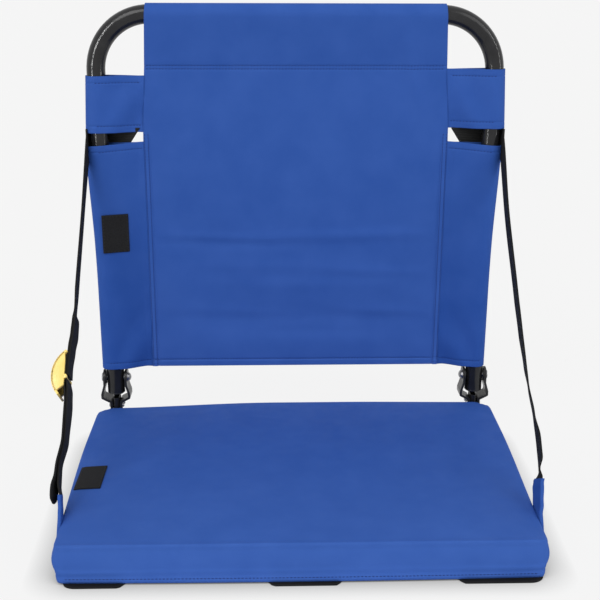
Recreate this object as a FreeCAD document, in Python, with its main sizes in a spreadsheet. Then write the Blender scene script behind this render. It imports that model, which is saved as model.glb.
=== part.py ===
import FreeCAD, Part
import math
import os
import Sketcher
from FreeCAD import Placement, Rotation, Vector

# A folding stadium seat: a padded seat on a bent tube, and a cloth back on a second tube that
# turns on two riveted side hinges. +Z is up, the sitter faces -Y and +X is the viewer's right.
# The origin is the centre of the seat's underside. Millimetres and degrees.

SIZES = {
    # seat cushion
    "seat_width": 430,
    "seat_depth": 292,
    "seat_height": 36.5,
    "seat_crown": 2.5,
    "side_bulge": 3,
    "side_draw_in": 1.5,
    "front_draw_in": 3,
    "seat_corner": 14,
    "cover_wall": 1,
    "hem_width": 14,
    "panel_wall": 1.2,
    "panel_inset": 3,
    "soft_gap": 0.3,
    # seat frame inside the cushion
    "seat_tube_d": 14,
    "tube_wall": 1.2,
    "seat_tube_bend": 34,
    "front_bar_inset": 14,
    "rise_bend": 16,
    "crossbar_inset": 28,
    "weld_gap": 0.05,
    "board_wall": 3.5,
    "board_overlap": 4,
    "board_corner": 30,
    "screw_d": 4,
    "screw_head_d": 8,
    "screw_head": 1.1,
    "screw_length": 9,
    "screw_spacing": 96,
    # back frame
    "tube_d": 19,
    "tube_inset": 15,
    "back_set_back": 10,
    "back_height": 467,
    "back_bend": 56,
    "pivot_rise": 22.5,
    "tail_gap": 2.15,
    "plug_flange": 2,
    "plug_stem": 10,
    # side hinges
    "tongue_wall": 8,
    "tongue_crimp": 7,
    "tongue_length": 13,
    "plate_wall": 2.5,
    "plate_width": 18,
    "plate_bow": 3,
    "bow_rise": 5,
    "bow_flat": 3.5,
    "plate_bend": 2,
    "pivot_d": 6,
    "running_gap": 0.05,
    "washer_d": 14,
    "washer_wall": 0.7,
    "pivot_head_d": 11,
    "pivot_head": 1.8,
    "pivot_dome": 4,
    "plate_rivet_d": 3.5,
    "plate_rivet_rise": 3.4,
    "plate_rivet_pitch": 8,
    "plate_rivet_head_d": 5.6,
    "plate_rivet_head": 1.6,
    # cloth of the back
    "cloth_wall": 0.9,
    "cloth_gap": 0.3,
    "wing_reach": 42,
    "sleeve_flare": 7.5,
    "sleeve_rise": 13,
    "sleeve_taper": 52,
    "seam_gap": 0.7,
    "seam_width": 6,
    "wing_rise": 12.5,
    "slot_height": 13,
    "tab_height": 57,
    "tab_drop": 1.5,
    # hook and loop patches
    "patch_wall": 1.5,
    "back_patch_width": 26,
    "back_patch_height": 41,
    "back_patch_drop": 96,
    "back_patch_inset": 12,
    "seat_patch_width": 22,
    "seat_patch_depth": 46,
    "seat_patch_inset": 13.5,
    "seat_patch_from_front": 126,
    # side straps and their fastenings
    "strap_width": 20,
    "strap_wall": 1.6,
    "strap_gap": 0.35,
    "strap_lift": 4,
    "strap_overlap": 30,
    "strap_inset": 52,
    "strap_band": 30,
    "flap_width": 26,
    "flap_wall": 1,
    "flap_bottom": 16,
    "flap_hem": 9,
    "flap_rise": 29.5,
    "buckle_from_top": 259,
    "buckle_rise": 26,
    "buckle_drop": 19,
    "buckle_cheek": 4,
    "buckle_bulge": 9,
    "buckle_bar": 2.6,
    "tail_length": 96,
    "tail_spread": 5,
}


NEAR = 0.01  # places closer than this count as one


class Size:
    """A length with its value and the sheet formula that gives it."""

    def __init__(self, text, value):
        self.text = text
        self.value = value

    def __add__(self, other):
        other = as_size(other)
        return Size(f"({self.text} + {other.text})", self.value + other.value)

    def __sub__(self, other):
        other = as_size(other)
        return Size(f"({self.text} - {other.text})", self.value - other.value)

    def __mul__(self, other):
        other = as_size(other)
        return Size(f"({self.text} * {other.text})", self.value * other.value)

    def __truediv__(self, other):
        other = as_size(other)
        return Size(f"({self.text} / {other.text})", self.value / other.value)

    def __neg__(self):
        return as_size(0) - self


def as_size(number):
    return number if isinstance(number, Size) else Size(repr(float(number)), float(number))


def root(size):
    return Size(f"sqrt({size.text})", math.sqrt(size.value))


doc = FreeCAD.newDocument("StadiumSeat")
sheet = doc.addObject("Spreadsheet::Sheet", "Sizes")
for row, (alias, number) in enumerate(SIZES.items(), start=1):
    sheet.set(f"A{row}", alias)
    sheet.set(f"B{row}", str(number))
    sheet.setAlias(f"B{row}", alias)
doc.recompute()


def size(alias):
    return Size(f"Sizes.{alias}", float(sheet.get(alias)))


subparts = []


def keep(piece, label):
    """Name a finished sub-part."""
    piece.Label = label
    subparts.append(piece)
    return piece


def new_body(name):
    return doc.addObject("PartDesign::Body", name)


def new_sketch(body, name, role, offset=0):
    """A sketch parallel to one of the body's own planes, a distance along that plane's normal."""
    plane = next(item for item in body.Origin.OriginFeatures if item.Role == role)
    sketch = body.newObject("Sketcher::SketchObject", name)
    sketch.AttachmentSupport = [(plane, "")]
    sketch.MapMode = "FlatFace"
    sketch.setExpression("AttachmentOffset.Base.z", as_size(offset).text)
    return sketch


def hold(sketch, geometry, end, point):
    """Tie one end of a sketch element to sheet sizes, measured from the sketch's origin."""
    for kind, distance in zip(("DistanceX", "DistanceY"), point):
        index = sketch.addConstraint(Sketcher.Constraint(kind, -1, 1, geometry, end, distance.value))
        sketch.setExpression(f"Constraints[{index}]", distance.text)


def flat(point):
    return Vector(point[0].value, point[1].value, 0)


def draw_outline(sketch, points, arcs=None):
    """A closed outline through points; arcs gives (centre, radius) for the side that starts there."""
    arcs = arcs or {}
    first = sketch.GeometryCount
    points = [(as_size(u), as_size(v)) for u, v in points]
    for index, start in enumerate(points):
        finish = points[(index + 1) % len(points)]
        if index in arcs:
            centre, radius = arcs[index]
            low = flat(start) - flat(centre)
            high = flat(finish) - flat(centre)
            circle = Part.Circle(flat(centre), Vector(0, 0, 1), radius.value)
            arc = Part.ArcOfCircle(circle, math.atan2(low.y, low.x), math.atan2(high.y, high.x))
            side = sketch.addGeometry(arc, False)
            rule = sketch.addConstraint(Sketcher.Constraint("Radius", side, radius.value))
            sketch.setExpression(f"Constraints[{rule}]", radius.text)
        else:
            side = sketch.addGeometry(Part.LineSegment(flat(start), flat(finish)), False)
        hold(sketch, side, 1, start)
    for index in range(len(points)):
        follower = first + (index + 1) % len(points)
        sketch.addConstraint(Sketcher.Constraint("Coincident", first + index, 2, follower, 1))


def draw_circle(sketch, centre, diameter):
    centre = (as_size(centre[0]), as_size(centre[1]))
    radius = diameter / 2
    circle = sketch.addGeometry(Part.Circle(flat(centre), Vector(0, 0, 1), radius.value), False)
    index = sketch.addConstraint(Sketcher.Constraint("Radius", circle, radius.value))
    sketch.setExpression(f"Constraints[{index}]", radius.text)
    hold(sketch, circle, 3, centre)


def pad(body, sketch, length, symmetric=False):
    feature = body.newObject("PartDesign::Pad", sketch.Name + "Pad")
    feature.Profile = sketch
    feature.setExpression("Length", length.text)
    feature.SideType = "Symmetric" if symmetric else "One side"
    return feature


def pocket_through(body, sketch):
    """Cut a sketch right through the body, both ways from its plane."""
    doc.recompute()
    before = body.Shape.Volume
    feature = body.newObject("PartDesign::Pocket", sketch.Name + "Pocket")
    feature.Profile = sketch
    feature.Type = "ThroughAll"
    feature.SideType = "Symmetric"
    doc.recompute()
    if not body.Shape.Volume < before:
        raise ValueError(f"{sketch.Name} cuts nothing")
    return feature


def round_edges(body, base, radius, chosen):
    """Fillet the edges of a feature that a test on their ends picks out."""
    doc.recompute()
    names = []
    for number, edge in enumerate(base.Shape.Edges, start=1):
        if len(edge.Vertexes) == 2 and chosen(edge.Vertexes[0].Point, edge.Vertexes[1].Point):
            names.append(f"Edge{number}")
    fillet = body.newObject("PartDesign::Fillet", base.Name + "Round")
    fillet.Base = (base, names)
    fillet.setExpression("Radius", radius.text)
    return fillet


def turned(body, sketch):
    """Revolve a half profile about the sketch's own upright axis."""
    feature = body.newObject("PartDesign::Revolution", sketch.Name + "Turn")
    feature.Profile = sketch
    feature.ReferenceAxis = (sketch, ["V_Axis"])
    feature.Angle = 360
    return feature


def mirrored(source, label, across=0):
    """The same piece on the other side of an upright plane at this distance along X."""
    copy = doc.addObject("Part::Mirroring", label)
    copy.Source = source
    copy.Normal = Vector(1, 0, 0)
    copy.setExpression("Base.x", as_size(across).text)
    return keep(copy, label)


def shaped(label, shape):
    """A sub-part whose shape is worked out in code."""
    piece = doc.addObject("Part::Feature", label)
    piece.Shape = shape
    piece.Placement = Placement()
    return keep(piece, label)


# Places that several pieces share
tube_x = size("seat_width") / 2 - size("tube_inset")
back_y = size("seat_depth") / 2 + size("back_set_back")
seat_tube_z = size("panel_wall") + size("cover_wall") + size("soft_gap") + size("seat_tube_d") / 2
riser_z = seat_tube_z + size("rise_bend")
tongue_z = riser_z + size("tongue_crimp")
tongue_top = tongue_z + size("tongue_length")
board_z = seat_tube_z + size("seat_tube_d") / 2 + size("weld_gap")
foam_z = board_z + size("board_wall") + size("weld_gap")
pivot_z = tongue_top + size("pivot_rise")
tail_reach = size("pivot_rise") - size("tail_gap")
tail_length = root(tail_reach * tail_reach - size("tube_d") * size("tube_d") / 4)
tube_end = pivot_z - tail_length + size("plug_flange")
loop_inner = size("tube_d") / 2 + size("cloth_gap")
loop_outer = loop_inner + size("cloth_wall")
strap_inner = tube_x + loop_outer + size("strap_gap")
strap_outer = strap_inner + size("strap_wall")
arch_top = size("back_height") - size("tube_d") / 2
bend_z = arch_top - size("back_bend")
tab_top = bend_z - size("tab_drop")
slot_top = tab_top - size("tab_height")
wing_top = slot_top - size("slot_height")
strap_top = wing_top + size("strap_lift")
strap_front = size("strap_inset") - size("seat_depth") / 2
flap_top = size("seat_height") + size("flap_rise")


# Seat cushion: the soft form that its cover, foam and underside share

def quarter_turn(start, centre, finish):
    """An arc between two points of a circle, by the point midway round."""
    way = (start - centre) + (finish - centre)
    middle = centre + way.normalize() * (start - centre).Length
    return Part.Arc(start, middle, finish).toShape()


def plan_outline(half_width, half_depth, height):
    """One turn round the cushion: four sides drawn in between four round corners."""
    corner = size("seat_corner").value
    draw_ins = (size("side_draw_in").value, size("front_draw_in").value)
    edges = []
    for turn in range(4):
        along, out = (half_depth, half_width) if turn % 2 == 0 else (half_width, half_depth)
        swing = Rotation(Vector(0, 0, 1), 90 * turn)
        first = Vector(out, corner - along, height)
        last = Vector(out, along - corner, height)
        waist = Vector(out - draw_ins[turn % 2], 0, height)
        centre = Vector(out - corner, along - corner, height)
        following = Vector(out - corner, along, height)
        side = Part.Arc(swing.multVec(first), swing.multVec(waist), swing.multVec(last))
        edges.append(side.toShape())
        edges.append(quarter_turn(swing.multVec(last), swing.multVec(centre), swing.multVec(following)))
    return Part.Wire(edges)


def crown_dome(inset):
    """A wide solid under the cushion's crown, this far inside the outer face."""
    rim = math.hypot(size("seat_width").value, size("seat_depth").value) / 2
    crown = size("seat_crown").value
    radius = (rim * rim + crown * crown) / (2 * crown)
    top = size("seat_height").value + crown - inset
    centre_z = top - radius
    reach = rim + size("seat_height").value
    middle = Vector(reach / 2, 0, centre_z + math.sqrt(radius * radius - reach * reach / 4))
    edge = Vector(reach, 0, centre_z + math.sqrt(radius * radius - reach * reach))
    peak = Vector(0, 0, top)
    foot = Vector(0, 0, -top)
    outer_foot = Vector(reach, 0, -top)
    sides = [
        Part.Arc(peak, middle, edge).toShape(),
        Part.makeLine(edge, outer_foot),
        Part.makeLine(outer_foot, foot),
        Part.makeLine(foot, peak),
    ]
    return Part.Face(Part.Wire(sides)).revolve(Vector(0, 0, 0), Vector(0, 0, 1), 360)


def cushion_form(inset, floor):
    """The padded block: sides that swell between seams, and a crowned top."""
    height = size("seat_height").value
    peak = height + size("seat_crown").value
    sections = []
    for level in (floor, height / 2, peak):
        swell = size("side_bulge").value * ((level - height / 2) / (height / 2)) ** 2
        half_width = size("seat_width").value / 2 - inset - swell
        half_depth = size("seat_depth").value / 2 - inset - swell
        sections.append(plan_outline(half_width, half_depth, level))
    return Part.makeLoft(sections, True, False).common(crown_dome(inset))


def upright_box(low, high):
    return Part.makeBox(high.x - low.x, high.y - low.y, high.z - low.z, low)


cover_floor = (size("panel_wall") + size("weld_gap")).value
cover_wall = size("cover_wall").value
cover = cushion_form(0, cover_floor).cut(cushion_form(cover_wall, cover_floor + cover_wall))
hem_half_width = size("seat_width").value / 2 - size("hem_width").value
hem_half_depth = size("seat_depth").value / 2 - size("hem_width").value
hem_opening = Part.Face(plan_outline(hem_half_width, hem_half_depth, cover_floor - cover_wall))
cover = cover.cut(hem_opening.extrude(Vector(0, 0, 3 * cover_wall)))
slit_half = size("seat_tube_d").value / 2 + size("soft_gap").value
for side in (-1, 1):
    slit_x = side * tube_x.value
    slit_start = back_y.value - 2 * size("rise_bend").value
    low = Vector(slit_x - slit_half, slit_start, cover_floor + cover_wall)
    high = Vector(slit_x + slit_half, back_y.value, riser_z.value)
    cover = cover.cut(upright_box(low, high))
shaped("seat_cover", cover)

foam_inset = cover_wall + size("soft_gap").value
foam = cushion_form(foam_inset, cover_floor)
under = upright_box(
    Vector(-size("seat_width").value, -size("seat_depth").value, -1),
    Vector(size("seat_width").value, size("seat_depth").value, foam_z.value),
)
shaped("seat_foam", foam.cut(under))

panel_half_width = size("seat_width").value / 2 - size("side_bulge").value - size("panel_inset").value
panel_half_depth = size("seat_depth").value / 2 - size("side_bulge").value - size("panel_inset").value
panel = Part.Face(plan_outline(panel_half_width, panel_half_depth, 0))
shaped("seat_bottom_panel", panel.extrude(Vector(0, 0, size("panel_wall").value)))


# Seat frame: one tube bent round the cushion, its rear ends turned up and crimped into tongues

def bent_path():
    """The frame's centre line, from one upright end round the front to the other."""
    x, y, z = tube_x.value, back_y.value, seat_tube_z.value
    rise = size("rise_bend").value
    bend = size("seat_tube_bend").value
    front = -size("seat_depth").value / 2 + size("front_bar_inset").value
    edges = []
    for side in (-1, 1):
        upper = Vector(side * x, y, z + rise)
        level = Vector(side * x, y - rise, z)
        before = Vector(side * x, front + bend, z)
        after = Vector(side * (x - bend), front, z)
        leg = [
            quarter_turn(upper, Vector(side * x, y - rise, z + rise), level),
            Part.makeLine(level, before),
            quarter_turn(before, Vector(side * (x - bend), front + bend, z), after),
        ]
        if side < 0:
            edges += leg
            edges.append(Part.makeLine(after, Vector(x - bend, front, z)))
        else:
            edges += reversed(leg)
    return Part.Wire(Part.__sortEdges__(edges))


def oval_ring(half_x, half_y, side, height):
    """A tube's section at one height: two sides joined by rounded ends, in six matching edges."""
    centre = Vector(side * tube_x.value, back_y.value, height)
    end = half_y - half_x
    corner = math.sqrt(0.5)
    if end > 0:
        knee = Vector(half_x, end, 0)
    else:
        knee = Vector(half_x * corner, half_x * corner, 0)
    tip = Vector(0, half_y, 0)
    edges = []
    for sign in (1, -1):
        right = centre + knee * sign
        left = centre + Vector(-knee.x, knee.y, 0) * sign
        top = centre + tip * sign
        hub = centre + Vector(0, max(end, 0), 0) * sign
        edges.append(quarter_turn(right, hub, top))
        edges.append(quarter_turn(top, hub, left))
        low_left = centre + Vector(-knee.x, -knee.y, 0) * sign
        if end > 0:
            edges.append(Part.makeLine(left, low_left))
        else:
            edges.append(quarter_turn(left, centre, low_left))
    return Part.Wire(edges)


def frame_solid(radius, half_wall, half_width):
    """The bent tube with both tongues, for one radius of its section."""
    path = bent_path()
    start = Vector(-tube_x.value, back_y.value, riser_z.value)
    ring = Part.Wire(Part.makeCircle(radius, start, Vector(0, 0, -1)))
    solid = path.makePipeShell([ring], True, False)
    for side in (-1, 1):
        round_end = oval_ring(radius, radius, side, riser_z.value)
        flat_end = oval_ring(half_wall, half_width, side, tongue_z.value)
        solid = solid.fuse(Part.makeLoft([round_end, flat_end], True, False))
        blade = Part.Face(flat_end).extrude(Vector(0, 0, size("tongue_length").value))
        solid = solid.fuse(blade)
    return solid.removeSplitter()


def tongue_half_width(radius, half_wall):
    """Half the width of a crimped tube whose girth stays that of the round one."""
    return (math.pi * radius - math.pi * half_wall) / 2 + half_wall


wall = size("tube_wall").value
seat_radius = size("seat_tube_d").value / 2
blade_half = size("tongue_wall").value / 2
outside = frame_solid(seat_radius, blade_half, tongue_half_width(seat_radius, blade_half))
bore_half = blade_half - wall
bore_width = tongue_half_width(seat_radius, blade_half) - wall
frame = outside.cut(frame_solid(seat_radius - wall, bore_half, bore_width))
rivet_level = tongue_z + size("plate_rivet_rise")
rivet_hole = size("plate_rivet_d").value / 2 + size("running_gap").value
rivet_ys = [back_y.value + step * size("plate_rivet_pitch").value / 2 for step in (-1, 1)]
drill_length = 2 * size("seat_width").value
for rivet_y in rivet_ys:
    start = Vector(-drill_length / 2, rivet_y, rivet_level.value)
    frame = frame.cut(Part.makeCylinder(rivet_hole, drill_length, start, Vector(1, 0, 0)))
screw_places = []
for side in (-1, 1):
    for step in (-1, 0, 1):
        screw_places.append(Vector(side * tube_x.value, step * size("screw_spacing").value, 0))
screw_hole = size("screw_d").value / 2 + size("running_gap").value
for place in screw_places:
    start = place + Vector(0, 0, seat_tube_z.value)
    frame = frame.cut(Part.makeCylinder(screw_hole, seat_radius, start))
shaped("seat_frame_tube", frame)

# Rear crossbar: a straight tube coped to fit between the two side runs
crossbar_y = size("seat_depth") / 2 - size("crossbar_inset")


def crossbar_cylinder(name, radius, length, start, axis):
    cylinder = doc.addObject("Part::Cylinder", name)
    cylinder.setExpression("Radius", radius.text)
    cylinder.setExpression("Height", length.text)
    cylinder.Placement = Placement(Vector(), Rotation(Vector(0, 0, 1), axis))
    for letter, place in zip("xyz", start):
        cylinder.setExpression(f"Placement.Base.{letter}", place.text)
    return cylinder


def cut_away(name, base, tool):
    cut = doc.addObject("Part::Cut", name)
    cut.Base = base
    cut.Tool = tool
    return cut


bar_start = (-tube_x, crossbar_y, seat_tube_z)
bar_radius = size("seat_tube_d") / 2
along_x = Vector(1, 0, 0)
along_y = Vector(0, 1, 0)
crossbar = crossbar_cylinder("CrossbarOutside", bar_radius, tube_x * 2, bar_start, along_x)
crossbar_bore = crossbar_cylinder(
    "CrossbarBore", bar_radius - size("tube_wall"), tube_x * 2, bar_start, along_x
)
crossbar = cut_away("CrossbarTube", crossbar, crossbar_bore)
for name, side_x in (("Left", -tube_x), ("Right", tube_x)):
    cope_start = (side_x, crossbar_y - size("seat_tube_d"), seat_tube_z)
    cope_radius = bar_radius + size("weld_gap")
    cope = crossbar_cylinder(f"Cope{name}", cope_radius, size("seat_tube_d") * 2, cope_start, along_y)
    crossbar = cut_away(f"Crossbar{name}", crossbar, cope)
keep(crossbar, "seat_rear_crossbar")

# Seat board: hardboard screwed down on the tubes
board = new_body("SeatBoard")
board_half = tube_x + size("board_overlap")
board_front = -(size("seat_depth") / 2) + size("front_bar_inset") - size("board_overlap")
board_rear = crossbar_y + size("seat_tube_d") / 2
board_sketch = new_sketch(board, "BoardOutline", "XY_Plane", board_z)
board_corners = [
    (-board_half, board_front),
    (board_half, board_front),
    (board_half, board_rear),
    (-board_half, board_rear),
]
draw_outline(board_sketch, board_corners)
board_pad = pad(board, board_sketch, size("board_wall"))
front_limit = board_front.value + NEAR
round_edges(
    board,
    board_pad,
    size("board_corner"),
    lambda low, high: abs(low.z - high.z) > NEAR and low.y < front_limit,
)
screw_hole_sketch = new_sketch(board, "ScrewHoles", "XY_Plane", board_z)
head_hole_sketch = new_sketch(board, "ScrewHeadSeats", "XY_Plane", board_z + size("board_wall"))
for side_x in (-tube_x, tube_x):
    for step in (-1, 0, 1):
        place = (side_x, size("screw_spacing") * step)
        draw_circle(screw_hole_sketch, place, size("screw_d") + size("running_gap") * 2)
        draw_circle(head_hole_sketch, place, size("screw_head_d") + size("running_gap") * 2)
pocket_through(board, screw_hole_sketch)
head_seats = board.newObject("PartDesign::Pocket", "HeadSeats")
head_seats.Profile = head_hole_sketch
head_seats.setExpression("Length", size("screw_head").text)
keep(board, "seat_board")

board_top = (board_z + size("board_wall")).value
screws = []
for place in screw_places:
    head_base = place + Vector(0, 0, board_top - size("screw_head").value)
    head = Part.makeCylinder(size("screw_head_d").value / 2, size("screw_head").value, head_base)
    tip = place + Vector(0, 0, board_top - size("screw_length").value)
    shank = Part.makeCylinder(size("screw_d").value / 2, size("screw_length").value, tip)
    screws.append(head.fuse(shank).removeSplitter())
shaped("board_screws", Part.makeCompound(screws))

# Seat patch: a loop square that follows the crown near the left edge
patch_x = size("seat_patch_inset").value - size("seat_width").value / 2
patch_y = size("seat_patch_from_front").value - size("seat_depth").value / 2
patch_corner = Vector(size("seat_patch_width").value / 2, size("seat_patch_depth").value / 2, 0)
patch_low = Vector(patch_x, patch_y, 0) - patch_corner
patch_high = Vector(patch_x, patch_y, 2 * size("seat_height").value) + patch_corner
patch_skin = crown_dome(-size("patch_wall").value - size("weld_gap").value)
patch_skin = patch_skin.cut(crown_dome(-size("weld_gap").value))
shaped("seat_loop_patch", patch_skin.common(upright_box(patch_low, patch_high)))

# Back frame: a hollow tube bent to an arch, drilled near its ends for the pivots
arch = new_body("BackFrameTube")
bend = size("back_bend")
arch_ring = new_sketch(arch, "ArchRing", "XY_Plane", tube_end)
draw_circle(arch_ring, (-tube_x, back_y), size("tube_d"))
draw_circle(arch_ring, (-tube_x, back_y), size("tube_d") - size("tube_wall") * 2)
arch_line = new_sketch(arch, "ArchLine", "XZ_Plane", -back_y)
runs = [
    ((-tube_x, tube_end), (-tube_x, bend_z)),
    ((-tube_x + bend, arch_top), (tube_x - bend, arch_top)),
    ((tube_x, bend_z), (tube_x, tube_end)),
]
for start, finish in runs:
    run = arch_line.addGeometry(Part.LineSegment(flat(start), flat(finish)), False)
    hold(arch_line, run, 1, start)
    hold(arch_line, run, 2, finish)
for side, angles in ((-1, (90, 180)), (1, (0, 90))):
    hub = Vector(side * (tube_x - bend).value, bend_z.value, 0)
    circle = Part.Circle(hub, Vector(0, 0, 1), bend.value)
    arc = Part.ArcOfCircle(circle, math.radians(angles[0]), math.radians(angles[1]))
    corner = arch_line.addGeometry(arc, False)
    if side < 0:
        run_ends = ((2, 0, 2), (1, 1, 1))
    else:
        run_ends = ((2, 1, 2), (1, 2, 1))
    for arc_end, run, run_end in run_ends:
        arch_line.addConstraint(Sketcher.Constraint("Coincident", corner, arc_end, run, run_end))
    rule = arch_line.addConstraint(Sketcher.Constraint("Radius", corner, bend.value))
    arch_line.setExpression(f"Constraints[{rule}]", bend.text)
arch_pipe = arch.newObject("PartDesign::AdditivePipe", "ArchPipe")
arch_pipe.Profile = arch_ring
arch_pipe.Spine = (arch_line, [])
arch_holes = new_sketch(arch, "PivotHoles", "YZ_Plane")
draw_circle(arch_holes, (back_y, pivot_z), size("pivot_d") + size("running_gap") * 2)
pocket_through(arch, arch_holes)
keep(arch, "back_frame_tube")

# End plugs: moulded caps pressed into the tube's lower ends
plug = new_body("TubeEndPlug")
plug_profile = new_sketch(plug, "PlugProfile", "XZ_Plane")
plug_bore = size("tube_d") / 2 - size("tube_wall") - size("weld_gap")
plug_rim = size("plug_flange") / 2
draw_outline(
    plug_profile,
    [
        (0, -size("plug_flange")),
        (size("tube_d") / 2 - plug_rim, -size("plug_flange")),
        (size("tube_d") / 2, -plug_rim),
        (size("tube_d") / 2, as_size(0)),
        (plug_bore, as_size(0)),
        (plug_bore, size("plug_stem")),
        (0, size("plug_stem")),
    ],
)
turned(plug, plug_profile)
for letter, place in zip("xyz", (tube_x, back_y, tube_end - size("weld_gap"))):
    plug.setExpression(f"Placement.Base.{letter}", place.text)
keep(plug, "tube_end_plug_right")
mirrored(plug, "tube_end_plug_left")


# Side hinges: bowed steel plates, riveted to the tongue below and carrying the pivot above

def mitre(run, rise):
    """How far a bent strip's outer corner lies behind its inner one, per unit of wall."""
    return (root(run * run + rise * rise) - rise) / run


plate = new_body("HingePlate")
foot_x = tube_x + size("tongue_wall") / 2 + size("weld_gap")
head_x = tube_x + size("tube_d") / 2 + size("soft_gap") + size("washer_wall") + size("weld_gap")
bow_x = head_x + size("plate_bow")
plate_wall = size("plate_wall")
plate_bottom = tongue_z
plate_top = pivot_z + size("plate_width") / 2
rivet_head = size("plate_rivet_head_d") / 2
flare_share = mitre(bow_x - foot_x, size("bow_rise"))
flare_mitre = flare_share * plate_wall
flare_z = rivet_level + rivet_head + flare_mitre + flare_share * size("plate_bend") + size("soft_gap")
bow_z = flare_z + size("bow_rise")
bow_top = bow_z + size("bow_flat")
taper_z = pivot_z - size("pivot_head_d") / 2 - size("plate_bend")
taper_mitre = mitre(bow_x - head_x, taper_z - bow_top) * plate_wall
plate_profile = new_sketch(plate, "PlateProfile", "XZ_Plane", -back_y)
draw_outline(
    plate_profile,
    [
        (foot_x, plate_bottom),
        (foot_x + plate_wall, plate_bottom),
        (foot_x + plate_wall, flare_z - flare_mitre),
        (bow_x + plate_wall, bow_z - flare_mitre),
        (bow_x + plate_wall, bow_top + taper_mitre),
        (head_x + plate_wall, taper_z + taper_mitre),
        (head_x + plate_wall, plate_top),
        (head_x, plate_top),
        (head_x, taper_z),
        (bow_x, bow_top),
        (bow_x, bow_z),
        (foot_x, flare_z),
    ],
)
plate_pad = pad(plate, plate_profile, size("plate_width"), symmetric=True)
ends = (plate_bottom.value + NEAR, plate_top.value - NEAR)
plate_bends = round_edges(
    plate,
    plate_pad,
    size("plate_bend"),
    lambda low, high: abs(low.y - high.y) > NEAR and ends[0] < low.z < ends[1],
)
round_edges(
    plate,
    plate_bends,
    size("plate_width") / 2 - size("weld_gap"),
    lambda low, high: abs(low.x - high.x) > NEAR and low.z > ends[1] and high.z > ends[1],
)
plate_holes = new_sketch(plate, "PlateHoles", "YZ_Plane", head_x)
draw_circle(plate_holes, (back_y, pivot_z), size("pivot_d") + size("running_gap") * 2)
for step in (-1, 1):
    rivet_place = (back_y + size("plate_rivet_pitch") * step / 2, rivet_level)
    draw_circle(plate_holes, rivet_place, size("plate_rivet_d") + size("running_gap") * 2)
pocket_through(plate, plate_holes)
keep(plate, "hinge_outer_plate_right")
inner_plate = mirrored(plate, "hinge_inner_plate_right", tube_x)
mirrored(plate, "hinge_outer_plate_left")
mirrored(inner_plate, "hinge_inner_plate_left")


def turned_along_x(body, sketch, start_x, y, z):
    """Revolve a profile and lay its axis along X, with its foot at this place."""
    turned(body, sketch)
    body.Placement = Placement(Vector(), Rotation(Vector(0, 0, 1), Vector(1, 0, 0)))
    for letter, place in zip("xyz", (start_x, y, z)):
        body.setExpression(f"Placement.Base.{letter}", place.text)


# Pivots: a headed rivet through both plates and the tube, its dome on the inner side
pivot = new_body("HingePivot")
pivot_profile = new_sketch(pivot, "PivotProfile", "XZ_Plane")
grip = (head_x + plate_wall - tube_x) * 2 + size("weld_gap") * 2
dome = size("pivot_dome")
head_radius = size("pivot_head_d") / 2
dome_radius = (head_radius * head_radius + dome * dome) / (dome * 2)
draw_outline(
    pivot_profile,
    [
        (as_size(0), -dome),
        (head_radius, as_size(0)),
        (size("pivot_d") / 2, as_size(0)),
        (size("pivot_d") / 2, grip),
        (head_radius, grip),
        (head_radius - size("pivot_head") / 2, grip + size("pivot_head")),
        (as_size(0), grip + size("pivot_head")),
    ],
    arcs={0: ((as_size(0), dome_radius - dome), dome_radius)},
)
turned_along_x(pivot, pivot_profile, tube_x - grip / 2, back_y, pivot_z)
keep(pivot, "hinge_pivot_right")
mirrored(pivot, "hinge_pivot_left")

# Washers: nylon rings between the plates and the tube
washer = new_body("HingeWasher")
washer_x = head_x - size("washer_wall") - size("weld_gap")
washer_ring = new_sketch(washer, "WasherRing", "YZ_Plane", washer_x)
draw_circle(washer_ring, (back_y, pivot_z), size("washer_d"))
draw_circle(washer_ring, (back_y, pivot_z), size("pivot_d") + size("running_gap") * 2)
pad(washer, washer_ring, size("washer_wall"))
keep(washer, "outer_washer_right")
inner_washer = mirrored(washer, "inner_washer_right", tube_x)
mirrored(washer, "outer_washer_left")
mirrored(inner_washer, "inner_washer_left")

# Plate rivets: two on each side, through both plates and the tongue
rivet_grip = (foot_x + plate_wall - tube_x) * 2 + size("weld_gap") * 2
rivet_radius = size("plate_rivet_d") / 2
rivet_cap = size("plate_rivet_head")
rivet_bodies = []
for name, step in (("Front", -1), ("Rear", 1)):
    rivet = new_body(f"PlateRivet{name}")
    rivet_profile = new_sketch(rivet, f"Rivet{name}Profile", "XZ_Plane")
    draw_outline(
        rivet_profile,
        [
            (as_size(0), -rivet_cap),
            (rivet_radius, -rivet_cap),
            (rivet_head, as_size(0)),
            (rivet_radius, as_size(0)),
            (rivet_radius, rivet_grip),
            (rivet_head, rivet_grip),
            (rivet_radius, rivet_grip + rivet_cap),
            (as_size(0), rivet_grip + rivet_cap),
        ],
    )
    rivet_y = back_y + size("plate_rivet_pitch") * step / 2
    turned_along_x(rivet, rivet_profile, tube_x - rivet_grip / 2, rivet_y, rivet_level)
    rivet_bodies.append(rivet)
rivets = doc.addObject("Part::Compound", "PlateRivets")
rivets.Links = rivet_bodies
keep(rivets, "plate_rivets_right")
mirrored(rivets, "plate_rivets_left")


# Back cloth: loops of cloth that pass round a tube and close at a seam in the tube's middle plane

def loop_lie(reach):
    """How a loop's straight layers lie: the sine and cosine of their angle to the middle plane."""
    lean = loop_inner / reach
    return lean, root(as_size(1) - lean * lean)


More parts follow.
